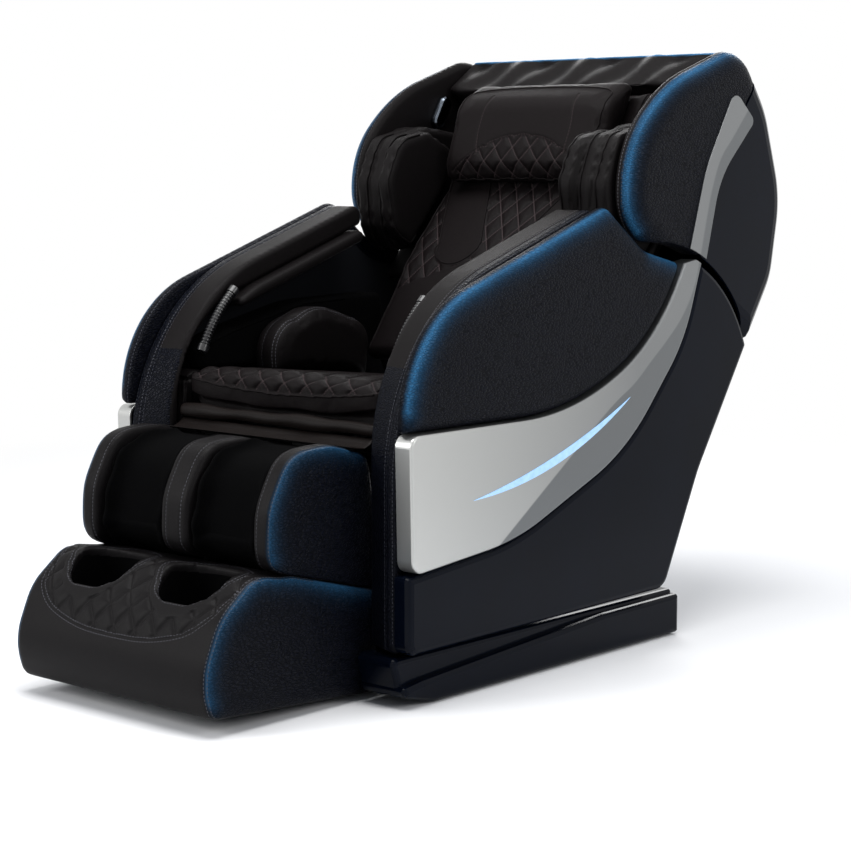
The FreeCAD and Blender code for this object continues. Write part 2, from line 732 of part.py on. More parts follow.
def make_seat(board):
    save("seat_cushion", [seat_cushion()])
    save("seat_front_cover", seat_front_cover())
    save("seat_frame", seat_frame())
    low = SEAT_BASE_Z - PAN_THICK
    pan = box(-FRAME_X - PAN_RIM, FRAME_X + PAN_RIM, PAN_FRONT_Y, SEAT_REAR_Y, low, SEAT_BASE_Z)
    save("seat_boards", [pan] + both([board]))
    save("carriage_runners", both([runner(-POST_Y), runner(POST_Y)]))
    save("air_pump", air_pump())


# Leg rest
LEG_FRAME_W = -10.0
FLOOR_W = LEG_FRAME_W + SEAT_GAP
CROSS_TUBE_S = (90.0, 215.0)
CROSS_TUBE_LONG = 30.0
CROSS_TUBE_W = (LEG_FRAME_W - 50, LEG_FRAME_W - 34)
SLEEVE_X = 24.0
SLEEVE_W = -28.0
SLEEVE_R = 15.0
EXTEND_R = 9.0
SLEEVE_TOP_S = 70.0
SLEEVE_LOW_S = 262.0
LINK_OUT_X = LUG_IN_X - 5
LINK_IN_X = LINK_OUT_X - 13
CALF = [
    (-401.0, 443.0, 12),
    (-500.0, 470.0, 60),
    (-600.0, 463.0, 60),
    (-650.0, 370.0, 60),
    (-655.0, 267.0, 28),
    (-540.0, 237.5, 300),
    (-364.0, 191.5, 14),
]
WELL_FLOOR = [(36, FLOOR_W, 10), (36, 26, 20), (288, 26, 20), (268, FLOOR_W, 10)]
WELL_BOLSTER = [
    (-404.0, 436.0, 12),
    (-432.0, 448.0, 12),
    (-468.0, 449.0, 14),
    (-472.0, 424.0, 14),
    (-424.0, 405.0, 8),
]
LINER_EDGE = 4.0
BELOW_FLOOR = [(-80, FLOOR_W, 1), (400, FLOOR_W, 1), (400, -300, 1), (-80, -300, 1)]
LINK = [
    (-14, -13, 12),
    (-14, 13, 12),
    (12, 13, 10),
    (34, LEG_FRAME_W, 12),
    (270, LEG_FRAME_W, 6),
    (250, -44, 6),
    (40, -44, 20),
]
PIN_HEAD_R = LEG_PIN_R + 4
PIN_HEAD_THICK = 5.0


def calf_walls():
    return both([pad_x(CALF, LEG_HALF - LEG_WALL, LEG_HALF, edge_low=9, edge_high=14)])


def calf_divider():
    below = block_x(leg_rows(BELOW_FLOOR), -LEG_HALF, LEG_HALF)
    return pad_x(inset(CALF, LEG_SIDE_GAP), -DIVIDER_HALF, DIVIDER_HALF, 10, 10).cut(below)


def calf_back():
    """The padded floor of the two wells, and the bolster that closes each well at the top."""
    low = DIVIDER_HALF + SEAM_GAP
    high = LEG_HALF - LEG_WALL - SEAM_GAP
    pads = []
    for corners in (leg_rows(WELL_FLOOR), WELL_BOLSTER):
        pads.append(pad_x(corners, low, high, LINER_EDGE, LINER_EDGE, 2))
    return both([pads[0].fuse(pads[1])])


def along_leg(x, s0, s1, w, radius):
    return rod_between(Vector(x, *leg_point(s0, w)), Vector(x, *leg_point(s1, w)), radius)


def leg_frame():
    link = block_x(leg_rows(LINK), LINK_IN_X, LINK_OUT_X)
    head_x = LUG_OUT_X + 1
    head_end = head_x + PIN_HEAD_THICK
    pin = rod_x(LEG_Y, LEG_Z, LEG_PIN_R, LINK_OUT_X, head_end)
    parts = both([link.fuse(pin).fuse(rod_x(LEG_Y, LEG_Z, PIN_HEAD_R, head_x, head_end))])
    low, high = CROSS_TUBE_W
    for start in CROSS_TUBE_S:
        end = start + CROSS_TUBE_LONG
        cross = leg_rows([(start, high, 2), (end, high, 2), (end, low, 2), (start, low, 2)])
        parts.append(block_x(cross, -LINK_OUT_X, LINK_OUT_X))
    for x in (-SLEEVE_X, SLEEVE_X):
        sleeve = along_leg(x, SLEEVE_TOP_S, SLEEVE_LOW_S, SLEEVE_W, SLEEVE_R)
        bore = along_leg(x, SLEEVE_TOP_S - 1, SLEEVE_LOW_S + 1, SLEEVE_W, EXTEND_R + 2 * RUN_GAP)
        parts.append(sleeve.cut(bore))
    return parts


# Foot section
FOOT = [
    (-380.0, 190.0, 12),
    (-600.0, 248.0, 200),
    (-690.0, 262.0, 60),
    (-771.0, 200.0, 120),
    (-814.0, 100.0, 120),
    (-793.0, 30.0, 22),
    (-388.0, FOOT_CLEAR_Z, 14),
]
ROLLER_AXIS_Y = -672.0
ROLLER_AXIS_Z = 72.0
FOOT_ROLLER_R = 22.0
HEEL_REAR_Y = -545.0
HEEL_TOP_Z = 165.0
ROD_TOP_S = 112.0
ROD_END_S = 336.0
UPRIGHT_Y0 = -604.0
UPRIGHT_Y1 = -556.0
UPRIGHT_HALF = 36.0
EAR_HALF_X = 9.0
EAR_HALF_Y = 12.0
EAR_TOP_Z = ROLLER_AXIS_Z + 14
PLATE_LOW_Z = 34.0
PLATE_TOP_Z = 40.0
PLATE_FRONT_Y = -738.0
PLATE_REAR_Y = -412.0
PLATE_RIM = 20.0
WELL_ROUND = 0.9
WELL_DEEP = 300.0
HEEL_RIM = 12.0
FOOT_EDGE = 16.0
AXLE_CLEAR = 40.0
SHAFT_CLEAR = 45.0
ROLLER_SPREAD = 30.0
ROLLER_HALF = 18.0


def foot_well():
    middle_y = (WELL_FRONT_Y + WELL_REAR_Y) / 2
    radius = (WELL_REAR_Y - WELL_FRONT_Y) / 2 * WELL_ROUND
    left = WELL_X - WELL_HALF_X
    right = WELL_X + WELL_HALF_X
    corners = [
        (left, WELL_FRONT_Y, radius),
        (right, WELL_FRONT_Y, radius),
        (right, WELL_REAR_Y, radius),
        (left, WELL_REAR_Y, radius),
    ]
    oval = Part.Face(outline_wire(corners, lambda u, v: Vector(u, v, WELL_FLOOR_Z)))
    well = oval.extrude(Vector(0, 0, WELL_DEEP))
    heel = box(left + HEEL_RIM, right - HEEL_RIM, middle_y, HEEL_REAR_Y, WELL_FLOOR_Z + 10, HEEL_TOP_Z)
    return well.fuse(heel)


def foot_metal(gap):
    """Bottom plate, upright, bearing ear and extension tubes; gap widens them for their pockets."""
    half = FOOT_HALF - PLATE_RIM + gap
    plate = box(-half, half, PLATE_FRONT_Y - gap, PLATE_REAR_Y + gap, PLATE_LOW_Z - gap, PLATE_TOP_Z + gap)
    rod_z = leg_point(ROD_END_S, SLEEVE_W)[1]
    half = UPRIGHT_HALF + gap
    upright = box(-half, half, UPRIGHT_Y0 - gap, UPRIGHT_Y1 + gap, PLATE_TOP_Z, rod_z + gap)
    half = EAR_HALF_X + gap
    deep = EAR_HALF_Y + gap
    ear = box(-half, half, ROLLER_AXIS_Y - deep, ROLLER_AXIS_Y + deep, PLATE_TOP_Z, EAR_TOP_Z + gap)
    rods = [along_leg(x, ROD_TOP_S, ROD_END_S, SLEEVE_W, EXTEND_R + gap) for x in (-SLEEVE_X, SLEEVE_X)]
    return [plate, upright, ear] + rods


def make_foot():
    shell = pad_x(FOOT, -FOOT_HALF, FOOT_HALF, FOOT_EDGE, FOOT_EDGE)
    well = foot_well()
    axle = rod_x(ROLLER_AXIS_Y, ROLLER_AXIS_Z, AXLE_R + 1, AXLE_CLEAR - FOOT_HALF, FOOT_HALF - AXLE_CLEAR)
    for hollow in [well, mirrored(well), axle] + foot_metal(SEAT_GAP):
        shell = shell.cut(hollow)
    save("foot_shell", [shell])
    pieces = foot_metal(0)
    frame = pieces[0]
    for piece in pieces[1:]:
        frame = frame.fuse(piece)
    bore = rod_x(ROLLER_AXIS_Y, ROLLER_AXIS_Z, AXLE_R + RUN_GAP, -2 * EAR_HALF_X, 2 * EAR_HALF_X)
    save("foot_plate", [frame.cut(bore)])
    shaft = rod_x(ROLLER_AXIS_Y, ROLLER_AXIS_Z, AXLE_R, SHAFT_CLEAR - FOOT_HALF, FOOT_HALF - SHAFT_CLEAR)
    for x in (-WELL_X, WELL_X):
        for middle in (x - ROLLER_SPREAD, x + ROLLER_SPREAD):
            sleeve = rod_x(ROLLER_AXIS_Y, ROLLER_AXIS_Z, FOOT_ROLLER_R, middle - ROLLER_HALF, middle + ROLLER_HALF)
            shaft = shaft.fuse(sleeve)
    save("foot_roller", [shaft])


def make_leg_rest():
    save("calf_sides", calf_walls())
    save("calf_divider", [calf_divider()])
    save("calf_back", calf_back())
    save("leg_frame", leg_frame() + leg_lever())
    make_foot()


# Hood and back
HOOD = [
    (204.0, 840.0, 120),
    (200.0, 985.0, 230),
    (330.0, 1116.0, 420),
    (596.0, 1204.0, 90),
]
HOOD_REAR = [
    (698.0, 1072.0, 220),
    (764.0, 890.0, 220),
    (730.0, 715.0, 150),
    (640.0, 585.0, 10),
]
HOOD_SEAM = [
    (425.0, 700.0, 4),
    (452.0, 860.0, 200),
    (500.0, 965.0, 200),
    (648.0, 1136.0, 4),
]
HOOD_TRIM = [
    (390.0, 760.0, 6),
    (452.0, 950.0, 300),
    (552.0, 1108.0, 24),
    (628.0, 1046.0, 14),
    (502.0, 930.0, 200),
    (452.0, 750.0, 6),
]
HOOD_X = PANEL_X
HOOD_ROUND = 44.0
WING_ROUND = 16.0
HOOD_STEPS = 5


HOOD_TOP_Z = HOOD[-1][1]
SHELL_AHEAD = [(HOOD_SEAM[-1][0], HOOD_TOP_Z + 20, 1), (HOOD[0][0] - 20, HOOD_TOP_Z + 20, 1)]
SHELL_AHEAD += [(HOOD[0][0] - 20, HOOD_SEAM[0][1], 1)]


def sweep_cylinder(radius):
    """The space about the recline axis that the side covers keep."""
    return rod_x(RECLINE_Y, RECLINE_Z, radius, -2 * HALF_WIDTH, 2 * HALF_WIDTH)


def hood_body(gap):
    """The whole hood, wings and shell in one, drawn in by gap all round."""
    edge = HOOD_ROUND - gap
    return pad_x(inset(HOOD + HOOD_REAR, gap), gap - HOOD_X, HOOD_X - gap, edge, edge, HOOD_STEPS)


def hood_wing():
    front = pad_x(HOOD + HOOD_SEAM[::-1], WING_IN_X, HALF_WIDTH, WING_ROUND, SEAM_GAP)
    return hood_body(0.0).common(front).cut(sweep_cylinder(HOOD_R))


def hood_shell():
    """The moulded rear shell with its side skins, open to the front and below."""
    seam = [(y + 2 * SEAM_GAP, z, radius) for y, z, radius in HOOD_SEAM]
    shell = hood_body(0.0).cut(hood_body(HOOD_WALL))
    return shell.cut(block_x(seam + SHELL_AHEAD, -HALF_WIDTH, HALF_WIDTH)).cut(sweep_cylinder(HOOD_R))


LOWER_SHELL = [
    (712.0, 690.0, 4),
    (512.0, 400.0, 90),
    (402.0, 342.0, 30),
    (345.0, 425.0, 8),
    (560.0, 770.0, 4),
]
LOWER_BAY = [
    (722.0, 730.0, 4),
    (504.0, 406.0, 84),
    (404.0, 352.0, 24),
    (280.0, 425.0, 8),
    (500.0, 790.0, 4),
]


def back_lower_shell():
    """The narrow lower part of the rear shell, which passes between the side covers."""
    bay_half = LOWER_SHELL_HALF - HOOD_WALL
    shell = pad_x(LOWER_SHELL, -LOWER_SHELL_HALF, LOWER_SHELL_HALF, 10, 10)
    bay = pad_x(LOWER_BAY, -bay_half, bay_half, 8, 8)
    return shell.cut(bay).common(sweep_cylinder(HOOD_R - SEAM_GAP))


def hood_trim():
    return pad_x(HOOD_TRIM, HOOD_X, TRIM_X, edge_low=0.2, edge_high=1.5).cut(sweep_cylinder(HOOD_R + 2))


# Leather lining between the wings: a roof piece and a panel beside each edge of the back pad
LINING_ROOF = [
    (484.0, 1121.0, 8),
    (575.0, 1184.0, 12),
    (606.0, 1194.0, 50),
    (648.0, 1138.0, 4),
    (612.0, 1100.0, 30),
    (554.0, 1074.0, 8),
]
LINING_N = 180.0
LINING_THICK = 20.0
LINING_LOW_U = 215.0
LINING_TOP_U = 655.0
LINING_EDGE = 3.0


def hood_lining():
    roof = pad_x(LINING_ROOF, SEAM_GAP - WING_IN_X, WING_IN_X - SEAM_GAP, LINING_EDGE, LINING_EDGE)
    rear = LINING_N - LINING_THICK
    corners = back_rows([(LINING_LOW_U, rear, 6), (LINING_LOW_U, LINING_N, 6),
                         (LINING_TOP_U, LINING_N, 6), (LINING_TOP_U, rear, 6)])
    side = pad_x(corners, PLATE_X + PLATE_THICK + SEAT_GAP, WING_IN_X - SEAT_GAP, LINING_EDGE, LINING_EDGE)
    return [roof] + both([side])


PAD_BEND = (372.0, 908.0)
PAD_TOP = (478.0, 1120.0)
PAD_FRONT = [(94.0, 552.0, 22), (225.0, 752.0, 500), PAD_BEND + (40,), PAD_TOP + (24,)]
PAD_REAR = [(660, PAD_BACK_N - 8, 14), (-14, PAD_BACK_N - 8, 12)]
BEHIND_PAD = [(-60, PAD_BACK_N, 1), (720, PAD_BACK_N, 1), (720, 0, 1), (-60, 0, 1)]
PAD_EDGE = 11.0
PAD_CROWN = 3.0


def back_pad():
    pad = crowned_pad(PAD_FRONT + back_rows(PAD_REAR), PAD_HALF, PAD_EDGE, PAD_CROWN)
    return pad.cut(block_x(back_rows(BEHIND_PAD), -HALF_WIDTH, HALF_WIDTH))


PILLOW_GAP = 1.0
PILLOW_HALF = PAD_HALF - 30
PILLOW_FRONT = [(331.0, 915.0, 22), (321.0, 955.0, 70), (368.0, 1088.0, 70), (446.0, 1134.0, 24)]
PILLOW_TOP_CUT = 5.0
PILLOW_EDGE = 15.0
PILLOW_CROWN = 4.0


def head_pillow():
    du, dv = unit(PAD_TOP[0] - PAD_BEND[0], PAD_TOP[1] - PAD_BEND[1])
    off_y = -dv * PILLOW_GAP
    off_z = du * PILLOW_GAP
    low = (PAD_BEND[0] + off_y, PAD_BEND[1] + off_z, 10)
    high = (PAD_TOP[0] + off_y - PILLOW_TOP_CUT * du, PAD_TOP[1] + off_z - PILLOW_TOP_CUT * dv, 6)
    return crowned_pad([low] + PILLOW_FRONT + [high], PILLOW_HALF, PILLOW_EDGE, PILLOW_CROWN)


SHOULDER_LAYER = 37.0
SHOULDER_STEP = 37.5
SHOULDER_OUTER = [
    (240.0, 768.0, 40),
    (196.0, 812.0, 60),
    (186.0, 922.0, 70),
    (225.0, 1012.0, 60),
    (330.0, 1040.0, 50),
]
SHOULDER_INNER = [
    (247.0, 782.0, 8),
    (190.0, 815.0, 50),
    (168.0, 925.0, 70),
    (210.0, 1008.0, 60),
    (300.0, 1030.0, 40),
    (395.0, 985.0, 20),
    (362.0, 912.0, 30),
]


def shoulder_airbags():
    """Three air pads on each side of the shoulders, the inner one in front of the back pad."""
    seat = LINING_N + SEAT_GAP
    outer = SHOULDER_OUTER + back_rows([(600, seat, 10), (300, seat, 10)])
    low = WING_IN_X - SEAM_GAP - 3 * SHOULDER_STEP
    layers = []
    for corners in (SHOULDER_INNER, outer, outer):
        layers.append(pad_x(corners, low, low + SHOULDER_LAYER, edge_low=15, edge_high=10))
        low += SHOULDER_STEP
    return both(layers)


SPEAKER_Y = 462.0
SPEAKER_Z = 1071.0
SPEAKER_HIGH = 80.0
SPEAKER_WIDE = 36.0
SPEAKER_DEEP = 16.0
SPEAKER_LEAN = BACK_LEAN - 8


def speaker_pod():
    lean = math.radians(SPEAKER_LEAN)
    corners = []
    for du, dv in ((-0.5, -0.5), (0.5, -0.5), (0.5, 0.5), (-0.5, 0.5)):
        along = dv * SPEAKER_HIGH
        across = du * SPEAKER_WIDE
        y = SPEAKER_Y + along * math.sin(lean) + across * math.cos(lean)
        z = SPEAKER_Z + along * math.cos(lean) - across * math.sin(lean)
        corners.append((y, z, SPEAKER_WIDE / 2))
    return pad_x(corners, WING_IN_X - SPEAKER_DEEP, WING_IN_X, edge_low=9, edge_high=1)


# Steel back frame, with its pins, lever, cross tubes and the two carriage rails
RAIL_LOW_U = 30.0
RAIL_TOP_U = 630.0
RAIL_N = 100.0
RAIL_DEEP = 34.0
RAIL_WIDE = 14.0
GROOVE = 13.0
FLANGE_WIDE = 24.0
CROSS_N = 62.0
BACK_CROSS_DEEP = 28.0
BACK_CROSS_HIGH = 34.0
BACK_CROSS_U = (150.0, 590.0)
PLATE_TOP_U = 640.0
PIN_LONG = 56.0
SHAFT_R = 16.0
FLANGE_THICK = 3.0
LEVER_IN_X = 12.0
LEVER_THICK = 6.0
LEVER = [
    (278.0, 452.0, 14),
    (274.0, 426.0, 14),
    (326.0, 357.0, 12),
    (342.0, 350.0, 12),
    (356.0, 369.0, 12),
    (306.0, 444.0, 14),
]


def back_block(u0, u1, n0, n1, low, high, radius=1):
    """A block of the back between two distances along it, two in front of it and two X positions."""
    corners = back_rows([(u0, n0, radius), (u0, n1, radius), (u1, n1, radius), (u1, n0, radius)])
    return block_x(corners, low, high)


def back_frame():
    face = PAD_BACK_N - SEAT_GAP
    plate = block_x(back_rows([
        (-26, -24, 22), (-26, 70, 22), (RAIL_LOW_U, face, 12), (PLATE_TOP_U, face, 12),
        (PLATE_TOP_U, CROSS_N - 2, 12), (110, CROSS_N - 2, 60), (26, -24, 22),
    ]), PLATE_X, PLATE_X + PLATE_THICK)
    pin = rod_x(RECLINE_Y, RECLINE_Z, PIN_R, PLATE_X, PLATE_X + PIN_LONG)
    flange = back_block(RAIL_LOW_U, RAIL_TOP_U, face - FLANGE_THICK, face, PLATE_X - FLANGE_WIDE, PLATE_X)
    rail_in = PLATE_X - RAIL_WIDE
    rail = back_block(RAIL_LOW_U, RAIL_TOP_U, RAIL_N, RAIL_N + RAIL_DEEP, rail_in, PLATE_X)
    middle = RAIL_N + RAIL_DEEP / 2
    groove = back_block(RAIL_LOW_U - 9, RAIL_TOP_U + 9, middle - GROOVE / 2, middle + GROOVE / 2,
                        rail_in - 1, PLATE_X - RAIL_WIDE / 2)
    frame = both([plate.fuse(pin).fuse(flange), rail.cut(groove)])
    for u in BACK_CROSS_U:
        frame.append(back_block(u, u + BACK_CROSS_HIGH, CROSS_N, CROSS_N + BACK_CROSS_DEEP, -PLATE_X, PLATE_X, 3))
    shaft = rod_x(RECLINE_Y, RECLINE_Z, SHAFT_R, -PLATE_X, PLATE_X)
    for low in (-LEVER_IN_X - LEVER_THICK, LEVER_IN_X):
        shaft = shaft.fuse(block_x(LEVER, low, low + LEVER_THICK))
    return frame + [shaft.fuse(rod_x(*RECLINE_END, DRIVE_PIN_R, -LEVER_IN_X, LEVER_IN_X))]


KNEAD_N = 141.0
KNEAD_PLATE = 14.0
KNEAD_END = 9.0
KNEAD_HALF_N = 8.0
CARRIAGE_HALF_U = 32.0
CARRIAGE_HALF_N = 5.0
CARRIAGE_RIM = RAIL_WIDE + 10
GUIDE_HALF_U = 50.0
MOTOR_HALF_X = 70.0
MOTOR_HALF_U = 28.0
MOTOR_DEEP = 17.0
KNEAD_LUG = 8.0
KNEAD_LUG_GAP = 2.0
ROLLER_CAP = 3.0
ROLLER_BULGE = 5.0
ROLLER_STEPS = 4


def massage_carriage():
    u, n = CARRIAGE_U, RAIL_N + RAIL_DEEP / 2
    rear, front = n - CARRIAGE_HALF_N, n + CARRIAGE_HALF_N
    edge = PLATE_X - CARRIAGE_RIM
    plate = back_block(u - CARRIAGE_HALF_U, u + CARRIAGE_HALF_U, rear, front, -edge, edge, 3)
    half = GROOVE / 2 - SLIDE_GAP
    groove_x = PLATE_X - RAIL_WIDE / 2 - SLIDE_GAP
    guide = back_block(u - GUIDE_HALF_U, u + GUIDE_HALF_U, n - half, n + half, edge - 2, groove_x, 2)
    body = plate.fuse(guide).fuse(mirrored(guide))
    motor = back_block(u - MOTOR_HALF_U, u + MOTOR_HALF_U, rear - MOTOR_DEEP, rear, -MOTOR_HALF_X, MOTOR_HALF_X)
    end = KNEAD_N + 10
    lug_corners = back_rows([(u - 12, front - 1, 2), (u - 12, end, 9), (u + 12, end, 9), (u + 12, front - 1, 2)])
    y, z = back_point(u, KNEAD_N)
    reach = KNEAD_PLATE / 2 + KNEAD_LUG_GAP
    for x in (KNEAD_X - reach - KNEAD_LUG, KNEAD_X + reach):
        lug = block_x(lug_corners, x, x + KNEAD_LUG).cut(rod_x(y, z, AXLE_R + RUN_GAP, x - 1, x + KNEAD_LUG + 1))
        body = body.fuse(lug).fuse(mirrored(lug))
    return [body, motor]


def knead_arm():
    u = CARRIAGE_U
    end = ARM_U_REACH + KNEAD_END
    face = KNEAD_X + KNEAD_PLATE / 2
    arm = back_block(u - end, u + end, KNEAD_N - KNEAD_HALF_N, KNEAD_N + KNEAD_HALF_N, face - KNEAD_PLATE, face, 7)
    y, z = back_point(u, KNEAD_N)
    half = KNEAD_PLATE / 2 + KNEAD_LUG_GAP + KNEAD_LUG
    arm = arm.fuse(rod_x(y, z, AXLE_R, KNEAD_X - half, KNEAD_X + half))
    cap = face + ROLLER_WIDE + ROLLER_CAP
    for side in (-1, 1):
        y, z = back_point(u + side * ARM_U_REACH, KNEAD_N)
        arm = arm.fuse(rod_x(y, z, AXLE_R, KNEAD_X, cap))
        arm = arm.fuse(rod_x(y, z, AXLE_R + 4, cap, cap + ROLLER_CAP))
    return arm


def roller(side):
    """A barrel-shaped massage roller with its bore."""
    y, z = back_point(CARRIAGE_U + side * ARM_U_REACH, KNEAD_N)
    start = KNEAD_X + KNEAD_PLATE / 2 + ROLLER_CAP / 2
    rings = []
    for k in range(ROLLER_STEPS + 1):
        share = k / ROLLER_STEPS
        radius = ROLLER_R - ROLLER_BULGE * (2 * share - 1) ** 2
        ring = Part.Circle(Vector(start + share * ROLLER_WIDE, y, z), Vector(1, 0, 0), radius)
        rings.append(Part.Wire(ring.toShape()))
    return loft(rings).cut(rod_x(y, z, AXLE_R + RUN_GAP, start - 1, start + ROLLER_WIDE + 1))


def make_back():
    wing = hood_wing()
    save_pair("hood_wing", [wing])
    save("hood_shell", [hood_shell()])
    save("back_lower_shell", [back_lower_shell()])
    save("hood_trims", both([hood_trim()]))
    save("hood_lining", hood_lining())
    save("back_pad", [back_pad()])
    save("head_pillow", [head_pillow()])
    save("shoulder_airbags", shoulder_airbags())
    save("speaker_pods", both([speaker_pod()]))
    save("back_frame", back_frame())
    save("massage_carriage", massage_carriage())
    save_pair("knead_arm", [knead_arm()])
    save_pair("lower_roller", [roller(-1)])
    save_pair("upper_roller", [roller(1)])


# Linear drives: a tube hinged at one end, and a rod whose eye goes round the driven pin
DRIVE_NECK = 26.0
DRIVE_BASE = 38.0
DRIVE_MOTOR_LONG = 60.0
DRIVE_MOTOR_R = DRIVE_TUBE_R + 7
RECLINE_TUBE = 300.0
RECLINE_ROD_START = 150.0
LEG_TUBE = 215.0
LEG_ROD_START = 70.0


def drive(x, start, end, tube_length, rod_start, eye_gap):
    """The hinged tube and the sliding rod of a drive, in the plane at x."""
    a = Vector(x, *start)
    b = Vector(x, *end)
    way = (b - a).normalize()
    eye_half = LEVER_IN_X - 1
    pin_half = LEVER_IN_X + LEVER_THICK + 2
    tube = rod_x(a.y, a.z, DRIVE_EYE_R - 2, x - eye_half, x + eye_half)
    tube = tube.fuse(rod_between(a + way * 6, a + way * DRIVE_BASE, DRIVE_TUBE_R / 2))
    tube = tube.fuse(rod_between(a + way * DRIVE_NECK, a + way * tube_length, DRIVE_TUBE_R))
    tube = tube.fuse(rod_x(a.y, a.z, DRIVE_PIN_R, x - pin_half, x + pin_half))
    tube = tube.fuse(rod_between(a + way * DRIVE_BASE, a + way * (DRIVE_BASE + DRIVE_MOTOR_LONG), DRIVE_MOTOR_R))
    tube = tube.cut(rod_between(a + way * DRIVE_BASE, a + way * (tube_length + 1), DRIVE_ROD_R + 2 * RUN_GAP))
    rod = rod_x(b.y, b.z, DRIVE_EYE_R, x - eye_half, x + eye_half)
    rod = rod.fuse(rod_between(a + way * rod_start, b - way * (DRIVE_EYE_R - 3), DRIVE_ROD_R))
    rod = rod.cut(rod_x(b.y, b.z, DRIVE_PIN_R + eye_gap, x - LEVER_IN_X, x + LEVER_IN_X))
    return tube, rod


LUG_END = 14.0


def drive_lugs(x, start, tube_y, tube_z):
    """The two plates from a cross tube's face to the hinge pin of a drive."""
    y, z = start
    way = math.copysign(LUG_END, z - tube_z)
    lugs = []
    for low in (x - LEVER_IN_X - LEVER_THICK, x + LEVER_IN_X):
        corners = [(tube_y - LUG_END, tube_z, 1), (tube_y + LUG_END, tube_z, 1),
                   (y + LUG_END, z + way, LUG_END - 1), (y - LUG_END, z + way, LUG_END - 1)]
        lug = block_x(corners, low, low + LEVER_THICK)
        lugs.append(lug.cut(rod_x(y, z, DRIVE_PIN_R + RUN_GAP, low - 1, low + LEVER_THICK + 1)))
    return lugs


def leg_lever():
    """Two plates on the upper cross tube of the leg frame, and the pin of the drive's eye."""
    face_s = CROSS_TUBE_S[0]
    plate_w = LEG_FRAME_W - 7
    pin_w = LEG_FRAME_W - 38
    low, high = CROSS_TUBE_W
    corners = [(face_s, high - 2, 1), (face_s, low, 1), (26, pin_w, 13), (26, plate_w, 13), (54, plate_w, 13)]
    pin_start = LEG_DRIVE_X - LEVER_IN_X - LEVER_THICK
    lever = rod_x(LEG_END[0], LEG_END[1], DRIVE_PIN_R, pin_start, pin_start + 2 * (LEVER_IN_X + LEVER_THICK))
    for low in (pin_start, LEG_DRIVE_X + LEVER_IN_X):
        lever = lever.fuse(block_x(leg_rows(corners), low, low + LEVER_THICK))
    return [lever]


def make_drives():
    tube, rod = drive(0.0, RECLINE_BASE, RECLINE_END, RECLINE_TUBE, RECLINE_ROD_START, RECLINE_EYE_GAP)
    save("recline_drive_tube", [tube])
    save("recline_drive_rod", [rod])
    tube, rod = drive(LEG_DRIVE_X, LEG_BASE, LEG_END, LEG_TUBE, LEG_ROD_START, LEG_EYE_GAP)
    save("leg_drive_tube", [tube])
    save("leg_drive_rod", [rod])


# Base
CROSS_HALF_X = SKIRT_X - 16
GLIDE_X = CROSS_HALF_X - 40
CROSS_LOW_Z = 30.0
CROSS_WIDE = 40.0
PAN_TOP_Z = RAIL_LOW_Z + 3
WHEEL_X = 150.0
WHEEL_Y = 434.0
WHEEL_Z = 36.0
WHEEL_R = 30.0
WHEEL_WIDE = 20.0
WHEEL_AXLE_R = 6.0
WHEEL_ROUND = 3.0
EAR_THICK = 4.0
EAR_GAP = 1.0
EAR_HALF = 12.0
EAR_BACK_Y = BASE_REAR_Y - 30
PAD_HIGH = 12.0
STUD_R = 6.0


def base_frame():
    half = TUBE_WIDE / 2
    wide = CROSS_WIDE / 2
    inner = FRAME_X - half
    frame = both([hollow_box(inner, FRAME_X + half, BASE_FRONT_Y, BASE_REAR_Y, RAIL_LOW_Z, RAIL_TOP_Z)])
    for y in (-GLIDE_Y, GLIDE_Y):
        frame.append(hollow_box(-CROSS_HALF_X, CROSS_HALF_X, y - wide, y + wide, CROSS_LOW_Z, RAIL_LOW_Z))
    frame.append(box(-inner, inner, BASE_FRONT_Y, BASE_REAR_Y, RAIL_LOW_Z, PAN_TOP_Z))
    reach = WHEEL_WIDE / 2 + EAR_GAP
    fork = rod_x(WHEEL_Y, WHEEL_Z, WHEEL_AXLE_R, WHEEL_X - reach - EAR_THICK, WHEEL_X + reach + EAR_THICK)
    for x in (WHEEL_X - reach - EAR_THICK, WHEEL_X + reach):
        top = WHEEL_Z + EAR_HALF
        fork = fork.fuse(box(x, x + EAR_THICK, EAR_BACK_Y, WHEEL_Y + EAR_HALF, WHEEL_Z - EAR_HALF, top))
        fork = fork.fuse(box(x, x + EAR_THICK, EAR_BACK_Y, BASE_REAR_Y, top, RAIL_LOW_Z))
    return frame + both([fork])


def wheel():
    tread = rod_x(WHEEL_Y, WHEEL_Z, WHEEL_R, WHEEL_X - WHEEL_WIDE / 2, WHEEL_X + WHEEL_WIDE / 2)
    tread = tread.makeFillet(WHEEL_ROUND, [edge for edge in tread.Edges if edge.Curve.TypeId == "Part::GeomCircle"])
    bore = rod_x(WHEEL_Y, WHEEL_Z, WHEEL_AXLE_R + RUN_GAP, WHEEL_X - WHEEL_WIDE, WHEEL_X + WHEEL_WIDE)
    return tread.cut(bore)


def glide_foot(x, y):
    pad = Part.makeCylinder(GLIDE_R, PAD_HIGH, Vector(x, y, 0))
    return pad.fuse(Part.makeCylinder(STUD_R, CROSS_LOW_Z - PAD_HIGH, Vector(x, y, PAD_HIGH)))


